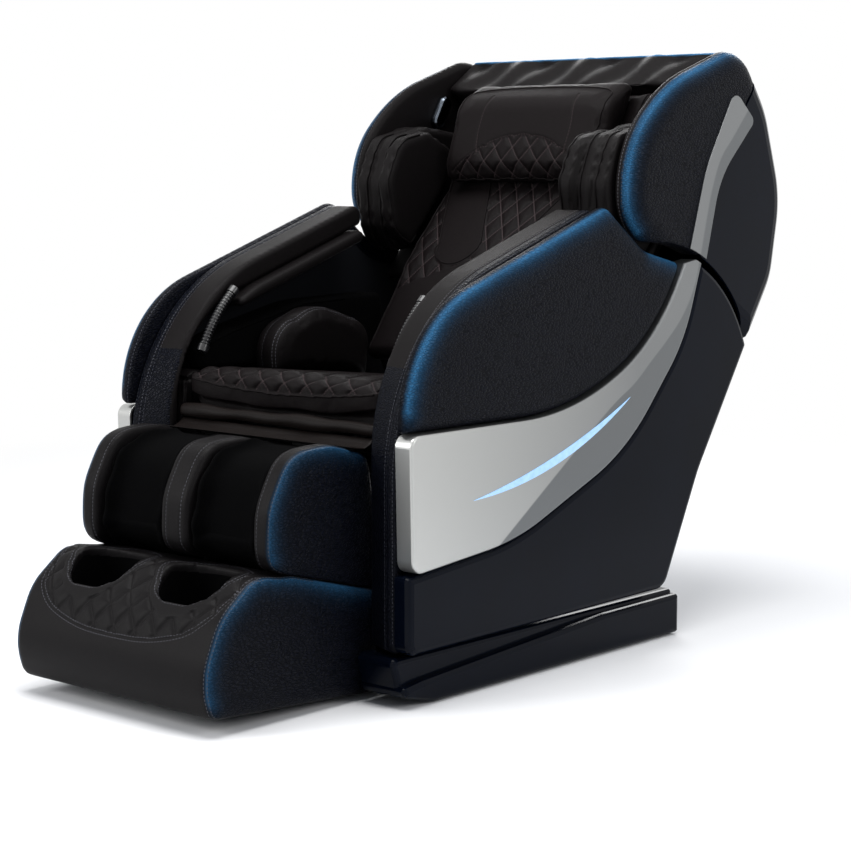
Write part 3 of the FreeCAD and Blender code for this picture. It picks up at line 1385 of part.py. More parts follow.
SKID_LOW_Z = 3.0
SKID_REAR_Y = 398.0
BAY_REAR_Y = SKID_REAR_Y - 8
BAY_LOW_Z = SKID_LOW_Z - 8
BAY_TOP_Z = SKID_TOP_Z - SHELL_WALL
FLANGE = [
    (-446.0, 40.0, 8),
    (-440.0, 22.0, 16),
    (-362.0, SKID_LOW_Z, 60),
    (SKID_REAR_Y, SKID_LOW_Z, 6),
    (SKID_REAR_Y, 84.0, 6),
    (145.0, 82.0, 200),
    (-165.0, 62.0, 400),
    (-394.0, 47.0, 30),
]
SKIRT = [(-458.0, SKID_TOP_Z, 13), (-438.0, 24.0, 20), (SKID_REAR_Y, 24.0, 6), (SKID_REAR_Y, SKID_TOP_Z, 6)]
FLANGE_BAY = [
    (-420.0, 34.0, 8),
    (-362.0, BAY_LOW_Z, 20),
    (BAY_REAR_Y, BAY_LOW_Z, 6),
    (BAY_REAR_Y, 56.0, 6),
    (-390.0, 34.0, 8),
]
SKIRT_BAY = [(-430.0, BAY_TOP_Z, 8), (-424.0, 30.0, 8), (BAY_REAR_Y, 30.0, 6), (BAY_REAR_Y, BAY_TOP_Z, 6)]
POST_HALF_X = 10.0
POST_HALF_Y = 8.0


def skid():
    """The moulded base cover of one side: a low flange with a nose, and a narrower skirt on it."""
    shell = pad_x(FLANGE, SKID_IN_X, SKID_OUT_X, SEAM_GAP, 10).fuse(pad_x(SKIRT, SKID_IN_X, SKIRT_X, SEAM_GAP, 10))
    shell = shell.cut(block_x(FLANGE_BAY, SKID_IN_X - 2, SKID_OUT_X - 2 * SHELL_WALL))
    shell = shell.cut(block_x(SKIRT_BAY, SKID_IN_X - 2, SKIRT_X - SHELL_WALL))
    for y in (-GLIDE_Y, GLIDE_Y):
        shell = shell.fuse(box(GLIDE_X - POST_HALF_X, GLIDE_X + POST_HALF_X, y - POST_HALF_Y, y + POST_HALF_Y,
                               RAIL_LOW_Z, SKID_TOP_Z - SHELL_WALL / 2))
    return shell


# Mains inlet panel, with its rocker switch
PANEL_Y = BASE_REAR_Y - 4
PANEL_HALF_X = 64.0
PANEL_TOP_Z = 150.0
PANEL_THICK = 4.0
SWITCH_X = 24.0
SWITCH_Z = 106.0
SWITCH_HALF_X = 9.0
SWITCH_HALF_Z = 14.0
SWITCH_WALL = 3.0
SWITCH_DEEP = 22.0
ROCKER_AXIS_Y = PANEL_Y - 4
ROCKER_PIN_R = 1.5
ROCKER_PIN_HALF = SWITCH_HALF_X + 1.5
ROCKER = [
    (PANEL_Y + 6, SWITCH_Z - 12, 2),
    (PANEL_Y + 9, SWITCH_Z, 30),
    (PANEL_Y + 6, SWITCH_Z + 12, 2),
    (PANEL_Y - 9, SWITCH_Z + 8, 2),
    (PANEL_Y - 9, SWITCH_Z - 8, 2),
]
SOCKET_X = -30.0
SOCKET_HALF_X = 14.0
SOCKET_HALF_Z = 11.0
SOCKET_WALL = 3.0
SOCKET_REAR = 20.0
SOCKET_FRONT = 6.0
SOCKET_BAY = 10.0
BLADES = ((-6, -1), (0, 3), (6, -1))


def socket_block(half_x, half_z, rear, front):
    low = SWITCH_Z - half_z
    return box(SOCKET_X - half_x, SOCKET_X + half_x, PANEL_Y - rear, PANEL_Y + front, low, low + 2 * half_z)


def switch_block(rim, rear, front):
    """A block around the rocker's opening, wider than it by rim."""
    wide = SWITCH_HALF_X + rim
    high = SWITCH_HALF_Z + rim
    return box(SWITCH_X - wide, SWITCH_X + wide, PANEL_Y - rear, PANEL_Y + front, SWITCH_Z - high, SWITCH_Z + high)


def power_panel():
    plate = box(-PANEL_HALF_X, PANEL_HALF_X, PANEL_Y, PANEL_Y + PANEL_THICK, PAN_TOP_Z, PANEL_TOP_Z)
    plate = plate.cut(switch_block(0, 1, PANEL_THICK + 1))
    plate = plate.cut(socket_block(SOCKET_HALF_X, SOCKET_HALF_Z, 1, PANEL_THICK + 1))
    housing = switch_block(SWITCH_WALL, SWITCH_DEEP, 0).cut(switch_block(0, SWITCH_DEEP - 4, 1))
    pin_half = ROCKER_PIN_HALF + SEAM_GAP
    pin_hole = rod_x(ROCKER_AXIS_Y, SWITCH_Z, ROCKER_PIN_R + RUN_GAP, SWITCH_X - pin_half, SWITCH_X + pin_half)
    housing = housing.cut(pin_hole)
    socket = socket_block(SOCKET_HALF_X, SOCKET_HALF_Z, SOCKET_REAR, SOCKET_FRONT)
    bay_x = SOCKET_HALF_X - SOCKET_WALL
    bay_z = SOCKET_HALF_Z - SOCKET_WALL
    socket = socket.cut(socket_block(bay_x, bay_z, SOCKET_BAY, SOCKET_FRONT + 1))
    for dx, dz in BLADES:
        x = SOCKET_X + dx
        z = SWITCH_Z + dz
        socket = socket.fuse(box(x - 1, x + 1, PANEL_Y - SOCKET_BAY - 1, PANEL_Y + 3, z - 2, z + 2))
    return [plate, housing, socket]


def power_rocker():
    half = SWITCH_HALF_X - SEAM_GAP
    body = block_x(ROCKER, SWITCH_X - half, SWITCH_X + half)
    pin = rod_x(ROCKER_AXIS_Y, SWITCH_Z, ROCKER_PIN_R, SWITCH_X - ROCKER_PIN_HALF, SWITCH_X + ROCKER_PIN_HALF)
    return body.fuse(pin)


# Slide drive, and the control box beside it
SLIDE_X = 110.0
SLIDE_Z = 100.0
SLIDE_ROD_R = 8.0
SLIDE_ROD_FRONT_Y = -POST_Y - 6
SLIDE_ROD_REAR_Y = 225.0
SLIDE_TUBE_R = 14.0
SLIDE_TUBE_FRONT_Y = 60.0
SLIDE_TUBE_REAR_Y = 255.0
SLIDE_BORE_REAR_Y = 240.0
SLIDE_MOTOR_HALF = 26.0
SLIDE_MOTOR_Y0 = 250.0
SLIDE_MOTOR_Y1 = 330.0
SLIDE_MOTOR_HIGH = 48.0
SLIDE_MOTOR_ROUND = 6.0
STAND_HALF = 12.0
STAND_Y0 = 70.0
STAND_Y1 = 84.0
HOOK_HALF = 13.0
CONTROL_X0 = 45 - FRAME_X
CONTROL_X1 = CONTROL_X0 + 150
CONTROL_Y0 = 110.0
CONTROL_Y1 = 330.0
CONTROL_TOP_Z = 142.0
CONTROL_ROUND = 8.0


def slide_rod(front_y, rear_y, radius):
    return rod_between(Vector(SLIDE_X, front_y, SLIDE_Z), Vector(SLIDE_X, rear_y, SLIDE_Z), radius)


def slide_drive():
    """The fixed tube of the seat slide, and the rod that the seat frame pulls."""
    body = rounded_box(SLIDE_X - SLIDE_MOTOR_HALF, SLIDE_X + SLIDE_MOTOR_HALF, SLIDE_MOTOR_Y0, SLIDE_MOTOR_Y1,
                       PAN_TOP_Z, PAN_TOP_Z + SLIDE_MOTOR_HIGH, SLIDE_MOTOR_ROUND)
    body = body.fuse(slide_rod(SLIDE_TUBE_FRONT_Y, SLIDE_TUBE_REAR_Y, SLIDE_TUBE_R))
    body = body.fuse(box(SLIDE_X - STAND_HALF, SLIDE_X + STAND_HALF, STAND_Y0, STAND_Y1, PAN_TOP_Z, SLIDE_Z))
    body = body.cut(slide_rod(SLIDE_TUBE_FRONT_Y - 1, SLIDE_BORE_REAR_Y, SLIDE_ROD_R + 2 * RUN_GAP))
    hook = box(SLIDE_X - HOOK_HALF, SLIDE_X + HOOK_HALF, SLIDE_ROD_FRONT_Y - 6, SLIDE_ROD_FRONT_Y + 10,
               SLIDE_Z - HOOK_HALF, LOW_CROSS_Z)
    return body, slide_rod(SLIDE_ROD_FRONT_Y, SLIDE_ROD_REAR_Y, SLIDE_ROD_R).fuse(hook)


def make_base():
    save("base_frame", base_frame())
    save_pair("skid", [skid()])
    feet = [glide_foot(GLIDE_X, -GLIDE_Y), glide_foot(GLIDE_X, GLIDE_Y)]
    save("glide_feet", both(feet))
    save_pair("wheel", [wheel()])
    save("power_panel", power_panel())
    save("power_rocker", [power_rocker()])
    tube, rod = slide_drive()
    save("slide_drive_tube", [tube])
    save("slide_drive_rod", [rod])
    case = rounded_box(CONTROL_X0, CONTROL_X1, CONTROL_Y0, CONTROL_Y1, PAN_TOP_Z, CONTROL_TOP_Z, CONTROL_ROUND)
    save("control_box", [case])


board = make_sides()
make_arms()
make_seat(board)
make_leg_rest()
make_back()
make_drives()
make_base()
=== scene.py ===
import bpy
import bmesh
import math
import numpy as np
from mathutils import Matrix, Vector, kdtree
from mathutils.bvhtree import BVHTree


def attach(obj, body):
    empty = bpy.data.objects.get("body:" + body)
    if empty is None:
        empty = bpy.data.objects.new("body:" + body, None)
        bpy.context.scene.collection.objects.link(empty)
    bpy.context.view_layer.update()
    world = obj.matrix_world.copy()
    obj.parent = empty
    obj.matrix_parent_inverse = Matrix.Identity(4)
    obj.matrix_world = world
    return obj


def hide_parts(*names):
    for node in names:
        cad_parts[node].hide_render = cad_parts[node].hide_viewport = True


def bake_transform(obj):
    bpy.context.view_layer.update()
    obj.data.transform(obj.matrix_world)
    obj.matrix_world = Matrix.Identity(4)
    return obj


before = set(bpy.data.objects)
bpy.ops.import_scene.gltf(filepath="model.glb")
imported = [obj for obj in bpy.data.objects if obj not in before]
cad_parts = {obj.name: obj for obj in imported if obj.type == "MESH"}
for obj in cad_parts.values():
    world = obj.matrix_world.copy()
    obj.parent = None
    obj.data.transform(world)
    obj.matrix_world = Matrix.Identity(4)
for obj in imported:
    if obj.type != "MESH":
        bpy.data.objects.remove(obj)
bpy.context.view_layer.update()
bpy.ops.object.select_all(action="DESELECT")

# Camera and light: the photograph's angle from the chair's front left, and plain white softboxes
# round it, so that black leather shows its folds by their broad reflections.
CAMERA_PLACE = (2.804, -3.1305, 0.9557)
CAMERA_TURN = 41.32
CAMERA_DOWN = 7.075
bpy.ops.object.camera_add(
    location=CAMERA_PLACE,
    rotation=(math.radians(90 - CAMERA_DOWN), 0, math.radians(CAMERA_TURN)),
)
camera = bpy.context.object
camera.data.lens = 89.16
camera.data.sensor_width = 36
camera.data.clip_end = 60
bpy.context.scene.camera = camera
bpy.context.scene.view_settings.view_transform = "Standard"


def softbox(name, place, aim, wide, high, watts):
    """A rectangular lamp at place, turned to the point that it lights."""
    bpy.ops.object.light_add(type="AREA", location=place)
    lamp = bpy.context.object
    lamp.name = name
    lamp.rotation_euler = (Vector(aim) - Vector(place)).to_track_quat("-Z", "Y").to_euler()
    lamp.data.shape = "RECTANGLE"
    lamp.data.size = wide
    lamp.data.size_y = high
    lamp.data.energy = watts


softbox("overhead", (0.2, -0.6, 3.4), (0, 0, 0.5), 2.6, 2.0, 120)
softbox("front", (-1.6, -3.6, 1.9), (0, 0, 0.6), 1.6, 2.0, 80)
softbox("side", (3.6, 0.3, 2.0), (0, 0, 0.6), 1.6, 1.6, 50)
softbox("behind", (-1.8, 3.0, 2.3), (0, 0.2, 0.8), 2.2, 1.6, 80)


def linear(code):
    """An sRGB hex colour as the linear colour that a shader takes."""
    parts = [int(code[k:k + 2], 16) / 255 for k in (1, 3, 5)]
    return tuple(p / 12.92 if p <= 0.04045 else ((p + 0.055) / 1.055) ** 2.4 for p in parts) + (1.0,)


def add(tree, kind, settings=(), links=()):
    """A node with its settings, by socket or by property, and the links that come into it."""
    made = tree.nodes.new(kind)
    for key, value in dict(settings).items():
        if isinstance(key, int) or key in made.inputs:
            made.inputs[key].default_value = value
        else:
            setattr(made, key, value)
    for key, source in dict(links).items():
        tree.links.new(source, made.inputs[key])
    return made


def blank(name):
    """An empty material, its node tree and its output node."""
    made = bpy.data.materials.new(name)
    made.use_nodes = True
    made.node_tree.nodes.clear()
    return made, made.node_tree, made.node_tree.nodes.new("ShaderNodeOutputMaterial")


def background_rays(tree):
    """1 for the rays that see the white background: from the camera, a mirror or through glass."""
    path = add(tree, "ShaderNodeLightPath")
    ends = {0: path.outputs["Is Camera Ray"], 1: path.outputs["Is Glossy Ray"]}
    seen = add(tree, "ShaderNodeMath", {"operation": "MAXIMUM"}, ends)
    ends = {0: seen.outputs[0], 1: path.outputs["Is Transmission Ray"]}
    return add(tree, "ShaderNodeMath", {"operation": "MAXIMUM"}, ends).outputs[0]


# Floor: a seamless pale studio floor that runs out into white. It keeps the chair's soft shadow.
FLOOR_R = 14
FLOOR_DROP = 0.0005
WHITE_FROM = 1.2
WHITE_FULL = 3.4
bpy.ops.mesh.primitive_circle_add(vertices=64, radius=FLOOR_R, fill_type="NGON", location=(0, 0, -FLOOR_DROP))
floor = bpy.context.object
floor.name = "studio_floor"
pale_floor, tree, out = blank("pale_studio_floor")
place = add(tree, "ShaderNodeTexCoord")
reach = add(tree, "ShaderNodeVectorMath", {"operation": "LENGTH"}, {0: place.outputs["Object"]})
span = {"From Min": WHITE_FROM, "From Max": WHITE_FULL}
fade = add(tree, "ShaderNodeMapRange", span, {"Value": reach.outputs["Value"]})
ends = {0: fade.outputs["Result"], 1: background_rays(tree)}
glow = add(tree, "ShaderNodeMath", {"operation": "MULTIPLY"}, ends)
matt = add(tree, "ShaderNodeBsdfDiffuse", {"Color": linear("#f1f1f2")})
white = add(tree, "ShaderNodeEmission", {"Color": (1, 1, 1, 1), "Strength": 1.0})
both = add(tree, "ShaderNodeMixShader", (), {0: glow.outputs[0], 1: matt.outputs[0], 2: white.outputs[0]})
tree.links.new(both.outputs[0], out.inputs["Surface"])
floor.data.materials.append(pale_floor)
world = bpy.data.worlds.new("studio_air")
bpy.context.scene.world = world
world.use_nodes = True
tree = world.node_tree
tree.nodes.clear()
out = tree.nodes.new("ShaderNodeOutputWorld")
soft_air = add(tree, "ShaderNodeBackground", {"Color": linear("#dfe6f0"), "Strength": 0.36})
white_air = add(tree, "ShaderNodeBackground", {"Color": (1, 1, 1, 1), "Strength": 1.0})
ends = {0: background_rays(tree), 1: soft_air.outputs[0], 2: white_air.outputs[0]}
both = add(tree, "ShaderNodeMixShader", (), ends)
tree.links.new(both.outputs[0], out.inputs["Surface"])


# Steel frame, rails, drives and carriage: welded square tube and plate, powder-coated satin black,
# with ground bright rods. They stay as they were drawn and only get their finish.
def dress(nodes, material):
    """Gives solid parts their finish."""
    for node in nodes:
        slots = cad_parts[node].data.materials
        slots.clear()
        slots.append(material)


def grained(name, colours, rough, metallic, grain_mm, depth_mm, spread, shine=0.5):
    """A rigid finish with a fine grain: its colour wanders a little and its gloss with it."""
    made, tree, out = blank(name)
    here = {"Vector": add(tree, "ShaderNodeTexCoord").outputs["Object"]}
    fine = add(tree, "ShaderNodeTexNoise", {"Scale": 1000 / grain_mm, "Detail": 3.0}, here)
    broad = add(tree, "ShaderNodeTexNoise", {"Scale": 6.0, "Detail": 4.0}, here)
    ends = {"Color1": linear(colours[0]), "Color2": linear(colours[1])}
    tint = add(tree, "ShaderNodeMixRGB", ends, {"Fac": broad.outputs["Fac"]})
    span = {"To Min": rough - spread, "To Max": rough + spread}
    gloss = add(tree, "ShaderNodeMapRange", span, {"Value": broad.outputs["Fac"]})
    deep = {"Strength": 0.5, "Distance": depth_mm / 1000}
    bump = add(tree, "ShaderNodeBump", deep, {"Height": fine.outputs["Fac"]})
    skin = add(
        tree,
        "ShaderNodeBsdfPrincipled",
        {"Metallic": metallic, "Specular IOR Level": shine},
        {"Base Color": tint.outputs[0], "Roughness": gloss.outputs[0], "Normal": bump.outputs[0]},
    )
    tree.links.new(skin.outputs[0], out.inputs["Surface"])
    return made


black_powder_coat = grained("black_powder_coat", ("#08090a", "#0e0f10"), 0.5, 0.0, 1.2, 0.12, 0.06, 0.12)
ground_steel = grained("ground_steel", ("#b9bcc2", "#cfd2d6"), 0.28, 1.0, 0.8, 0.02, 0.08)
black_abs = grained("moulded_black_abs", ("#0a0a0c", "#111113"), 0.5, 0.0, 0.9, 0.08, 0.05, 0.2)
moulded_rubber = grained("moulded_rubber", ("#151515", "#202020"), 0.8, 0.0, 0.7, 0.1, 0.05, 0.3)
grey_nylon = grained("grey_nylon", ("#8a8d92", "#9da0a4"), 0.45, 0.0, 1.5, 0.05, 0.05)
dress(
    ["base_frame", "seat_frame", "back_frame", "leg_frame", "foot_plate", "massage_carriage"]
    + ["slide_drive_tube", "recline_drive_tube", "leg_drive_tube"],
    black_powder_coat,
)
dress(
    ["slide_drive_rod", "recline_drive_rod", "leg_drive_rod", "knead_arm_left", "knead_arm_right"],
    ground_steel,
)
dress(["power_panel", "power_rocker", "control_box", "carriage_runners", "air_pump"], black_abs)
dress(["glide_feet", "wheel_left", "wheel_right"], moulded_rubber)
dress(
    ["upper_roller_left", "upper_roller_right", "lower_roller_left", "lower_roller_right", "foot_roller"],
    grey_nylon,
)

# Seat pan and side boards: nine-ply birch, faced with thin black felt that is glued on. Its near-black colour
# is also painted shade for the dark gap inside the arms, so that no bare wood shows there. The felt is matte,
# with short fibres that lie every way.
black_felt_and_shade, tree, out = blank("black_felt_and_painted_shade_on_plywood")
here = {"Vector": add(tree, "ShaderNodeTexCoord").outputs["Object"]}
fibre = add(tree, "ShaderNodeTexNoise", {"Scale": 420.0, "Detail": 6.0}, here)
# Near-black felt colour, which also stands for painted shade in the gap inside the arms.
ends = {"Color1": linear("#08090c"), "Color2": linear("#101115")}
tint = add(tree, "ShaderNodeMixRGB", ends, {"Fac": fibre.outputs["Fac"]})
bump = add(tree, "ShaderNodeBump", {"Strength": 0.6, "Distance": 0.0004}, {"Height": fibre.outputs["Fac"]})
skin = add(
    tree,
    "ShaderNodeBsdfPrincipled",
    {"Roughness": 0.95, "Specular IOR Level": 0.1},
    {"Base Color": tint.outputs[0], "Normal": bump.outputs[0]},
)
tree.links.new(skin.outputs[0], out.inputs["Surface"])
dress(["seat_boards"], black_felt_and_shade)

# Skids, lower side covers, hood shell and back shell: moulded ABS, navy-black and polished to a wet
# gloss, so that its rounded edges draw thin lines of light and its flats stay nearly black.
navy_gloss = grained("polished_navy_abs", ("#02040a", "#050a16"), 0.17, 0.0, 60.0, 0.2, 0.03, 0.07)
dress(
    ["skid_left", "skid_right", "lower_cover_left", "lower_cover_right", "hood_shell", "back_lower_shell"],
    navy_gloss,
)

# Silver trims: moulded ABS sprayed with a fine metallic silver lacquer. Its colour holds painted light: a
# painted highlight, pale at the front and mid grey along each trim, and painted shade past FACET, the ridge
# where its rear facet turns away (z, y).
FACET = [(0.444, 0.087), (0.502, 0.179), (0.531, 0.235), (0.572, 0.292), (0.614, 0.350), (0.657, 0.399)]
FACET += [(0.713, 0.438), (0.770, 0.457), (0.857, 0.481), (0.913, 0.499), (0.970, 0.528), (1.010, 0.568)]
FACET += [(1.062, 0.619)]
FACET_BLUR = 0.003
PAINTED_LIGHT_Y = -0.40
PAINTED_DIM_Y = 0.25
silver_lacquer, tree, out = blank("silver_lacquer")
place = add(tree, "ShaderNodeTexCoord")
apart = add(tree, "ShaderNodeSeparateXYZ", (), {0: place.outputs["Object"]})
ridge = add(tree, "ShaderNodeFloatCurve", (), {"Value": apart.outputs["Z"]})
ridge.mapping.use_clip = False
ridge.mapping.extend = "EXTRAPOLATED"
knots = ridge.mapping.curves[0].points
knots[0].location = FACET[0]
knots[1].location = FACET[-1]
for z, y in FACET[1:-1]:
    knots.new(z, y)
ridge.mapping.update()
# Painted shade: darker grey past the FACET ridge, on the rear facet that turns away from the light.
past = add(tree, "ShaderNodeMath", {"operation": "SUBTRACT"}, {0: apart.outputs["Y"], 1: ridge.outputs[0]})
span = {"From Min": -FACET_BLUR, "From Max": FACET_BLUR}
turned = add(tree, "ShaderNodeMapRange", span, {"Value": past.outputs[0]})
# Painted highlight: the lacquer is paler towards the front of each trim and mid grey towards the rear.
span = {"From Min": PAINTED_LIGHT_Y, "From Max": PAINTED_DIM_Y}
painted_light_sweep = add(tree, "ShaderNodeMapRange", span, {"Value": apart.outputs["Y"]})
ends = {"Color1": linear("#b6b7b5"), "Color2": linear("#7d7f80")}
front = add(tree, "ShaderNodeMixRGB", ends, {"Fac": painted_light_sweep.outputs[0]})
ends = {"Fac": turned.outputs[0], "Color1": front.outputs[0]}
painted_facet_shade = add(tree, "ShaderNodeMixRGB", {"Color2": linear("#66696b")}, ends)
flake = add(tree, "ShaderNodeTexNoise", {"Scale": 1400.0, "Detail": 2.0}, {"Vector": place.outputs["Object"]})
bump = add(tree, "ShaderNodeBump", {"Strength": 0.5, "Distance": 0.00003}, {"Height": flake.outputs["Fac"]})
skin = add(
    tree,
    "ShaderNodeBsdfPrincipled",
    {"Metallic": 0.85, "Roughness": 0.3, "Coat Weight": 0.3, "Coat Roughness": 0.08},
    {"Base Color": painted_facet_shade.outputs[0], "Normal": bump.outputs[0]},
)
tree.links.new(skin.outputs[0], out.inputs["Surface"])
dress(["side_trim_left", "side_trim_right", "hood_trims"], silver_lacquer)

# Light strips: a thin frosted acrylic crescent over blue diodes, lit evenly from end to end.
lit_acrylic, tree, out = blank("lit_frosted_acrylic")
place = add(tree, "ShaderNodeTexCoord")
frost = add(tree, "ShaderNodeTexNoise", {"Scale": 90.0, "Detail": 2.0}, {"Vector": place.outputs["Object"]})
ends = {"Color1": linear("#86b0dc"), "Color2": linear("#a9cdf0")}
tint = add(tree, "ShaderNodeMixRGB", ends, {"Fac": frost.outputs["Fac"]})
skin = add(
    tree,
    "ShaderNodeBsdfPrincipled",
    {"Roughness": 0.3, "Emission Strength": 0.4},
    {"Base Color": tint.outputs[0], "Emission Color": tint.outputs[0]},
)
tree.links.new(skin.outputs[0], out.inputs["Surface"])
dress(["side_lights"], lit_acrylic)

# Speaker pods: a moulded cup with a polished chrome ring.
mirror_chrome = grained("polished_dark_chrome", ("#4d535c", "#6b727b"), 0.1, 1.0, 40.0, 0.01, 0.02)
dress(["speaker_pods"], mirror_chrome)


# Side panels and arm bands: croc-embossed leather, navy-black, over foam on a board. Its scales lie
# in short rows. A blue highlight is painted where a panel turns over, and it is sewn to the band in two rows.
def apply(piece, kind, **settings):
    """One modifier, set and applied at once."""
    modifier = piece.modifiers.new(kind.title(), kind)
    for key, value in settings.items():
        setattr(modifier, key, value)
    bpy.context.view_layer.objects.active = piece
    bpy.ops.object.modifier_apply(modifier=modifier.name)


def finer(piece):
    """Splits each face of a piece in four, with its shape smoothed."""
    apply(piece, "SUBSURF", levels=1, render_levels=1)


def places(piece):
    """Every point of a piece and its normal, as two arrays."""
    spots = np.zeros(len(piece.data.vertices) * 3)
    ways = np.zeros(len(piece.data.vertices) * 3)
    piece.data.vertices.foreach_get("co", spots)
    piece.data.vertices.foreach_get("normal", ways)
    return spots.reshape(-1, 3), ways.reshape(-1, 3)


def put(piece, spots):
    """Moves the points of a piece to new places."""
    piece.data.vertices.foreach_set("co", np.asarray(spots, float).ravel())
    piece.data.update()


def note(piece, name, values):
    """Keeps one number, or three, for each point of a piece, for its material to read."""
    values = np.asarray(values, np.float32)
    kind = "FLOAT" if values.ndim == 1 else "FLOAT_VECTOR"
    kept = piece.data.attributes.get(name) or piece.data.attributes.new(name, kind, "POINT")
    kept.data.foreach_set("value" if values.ndim == 1 else "vector", values.ravel())


def ease(values, low, high):
    """0 below low, 1 above high, and a smooth rise between them."""
    share = np.clip((values - low) / (high - low), 0, 1)
    return share * share * (3 - 2 * share)


WELD = 1e-5


def cover(node, name, voxel=0.005, smooth=6, sink=0.0):
    """A cover of even small faces drawn over one of the chair's padded cores."""
    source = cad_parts[node]
    piece = bpy.data.objects.new(name, source.data.copy())
    bpy.context.scene.collection.objects.link(piece)
    skin = bmesh.new()
    skin.from_mesh(piece.data)
    bmesh.ops.remove_doubles(skin, verts=skin.verts, dist=WELD)
    skin.to_mesh(piece.data)
    skin.free()
    piece.data.materials.clear()
    apply(piece, "REMESH", mode="VOXEL", voxel_size=voxel)
    apply(piece, "SMOOTH", factor=0.5, iterations=smooth)
    if sink:
        spots, ways = places(piece)
        put(piece, spots - ways * sink)
    return piece


def surface(piece):
    """A piece's faces as a tree for finding the nearest point or the first one that a ray meets."""
    spots = [v.co for v in piece.data.vertices]
    return BVHTree.FromPolygons(spots, [f.vertices for f in piece.data.polygons])


def skyline(piece, x, centre, first, last, steps=90):
    """A piece's outermost points in the plane across x, from one bearing to another round (y, z)."""
    skin = surface(piece)
    line = []
    for k in range(steps + 1):
        bearing = math.radians(first + (last - first) * k / steps)
        way = Vector((0, math.cos(bearing), math.sin(bearing)))
        hit = skin.ray_cast(Vector((x, *centre)) + way, -way)[0]
        if hit is not None:
            line.append(tuple(hit))
    return line


ROLL_SPREAD = 0.14


def round_off(piece, x, centre):
    """Rolls the kinks out of a piece's outline round centre (y, z), as foam rounds them."""
    bearings = np.radians(np.arange(0, 361, 2))
    line = np.array(skyline(piece, x, centre, 0, 360, len(bearings) - 1))
    edge = np.linalg.norm(line[:, 1:] - centre, axis=1)
    turns = (bearings[:, None] - bearings[None, :-1] + math.pi) % (2 * math.pi) - math.pi
    share = np.exp(-(turns / ROLL_SPREAD) ** 2)
    rolled = share @ edge[:-1] / share.sum(1)
    spots, _ = places(piece)
    off = spots[:, 1:] - centre
    bearing = np.arctan2(off[:, 1], off[:, 0]) % (2 * math.pi)
    far = np.linalg.norm(off, axis=1)
    here = np.interp(bearing, bearings, edge)
    move = (np.interp(bearing, bearings, rolled) - here) * ease(far / here, 0.7, 0.97)
    spots[:, 1:] += off * (move / np.maximum(far, 1e-6))[:, None]
    put(piece, spots)


LAY_STEP = 0.004
LAY_PARTS = 8


def lay(piece, line, closed=False):
    """A smooth line through a few points, laid on a piece: its places and the normals there."""
    ring = [Vector(p) for p in line]
    ring = [ring[-1], *ring, ring[0], ring[1]] if closed else [ring[0], *ring, ring[-1]]
    rough = []
    for before, a, b, after in zip(ring, ring[1:], ring[2:], ring[3:]):
        for t in np.arange(LAY_PARTS) / LAY_PARTS:
            bend = (b - before) * t + (2 * before - 5 * a + 4 * b - after) * t * t
            bend += (3 * a - before - 3 * b + after) * t ** 3
            rough.append(a + bend / 2)
    rough.append(ring[-2])
    rough = np.array(rough)
    run = np.concatenate([[0], np.cumsum(np.linalg.norm(np.diff(rough, axis=0), axis=1))])
    marks = np.linspace(0, run[-1], max(3, int(run[-1] / LAY_STEP)))
    even = np.stack([np.interp(marks, run, rough[:, k]) for k in range(3)], 1)
    skin = surface(piece)
    found = [skin.find_nearest(Vector(spot)) for spot in even]
    return np.array([tuple(f[0]) for f in found]), np.array([tuple(f[1]) for f in found])


FLAT_SEAM = (0.001, 0.002)
FIRM_SEAM = (0.0015, 0.0025)
DEEP_SEAM = (0.002, 0.003)
ROW_OFF = 0.004
SEAM_REACH = 0.012


def sew(piece, line, sink, wide, rows=0.0, closed=False):
    """Sinks a seam along a line on a cover, and notes the thread: one row in it, or one at each side."""
    spots, ways = places(piece)
    seam, _ = lay(piece, line, closed)
    run = np.concatenate([[0], np.cumsum(np.linalg.norm(np.diff(seam, axis=0), axis=1))])
    near = kdtree.KDTree(len(seam))
    for count, spot in enumerate(seam):
        near.insert(spot, count)
    near.balance()
    close = (spots > seam.min(0) - SEAM_REACH) & (spots < seam.max(0) + SEAM_REACH)
    kept = piece.data.attributes.get("seam")
    thread = np.tile([1.0, 0.0, 0.0], (len(spots), 1))
    if kept:
        flat = np.zeros(len(spots) * 3, np.float32)
        kept.data.foreach_get("vector", flat)
        thread = flat.reshape(-1, 3).astype(float)
    for count in np.flatnonzero(close.all(axis=1)):
        _, index, far = near.find(spots[count])
        if far > SEAM_REACH:
            continue
        first, last = max(index - 1, 0), min(index + 1, len(seam) - 1)
        along = seam[last] - seam[first]
        along /= max(np.linalg.norm(along), 1e-9)
        off = spots[count] - seam[index]
        run_here = run[index] + float(off @ along)
        side = float(off @ np.cross(along, ways[count]))
        row = abs(side) - rows if rows else side
        if abs(row) < abs(thread[count][0]):
            thread[count] = (row, run_here, 1.0)
        spots[count] -= ways[count] * sink * math.exp(-(side / wide) ** 2)
    put(piece, spots)
    note(piece, "seam", thread)


PIPING = 0.005
THIN_PIPING = 0.004


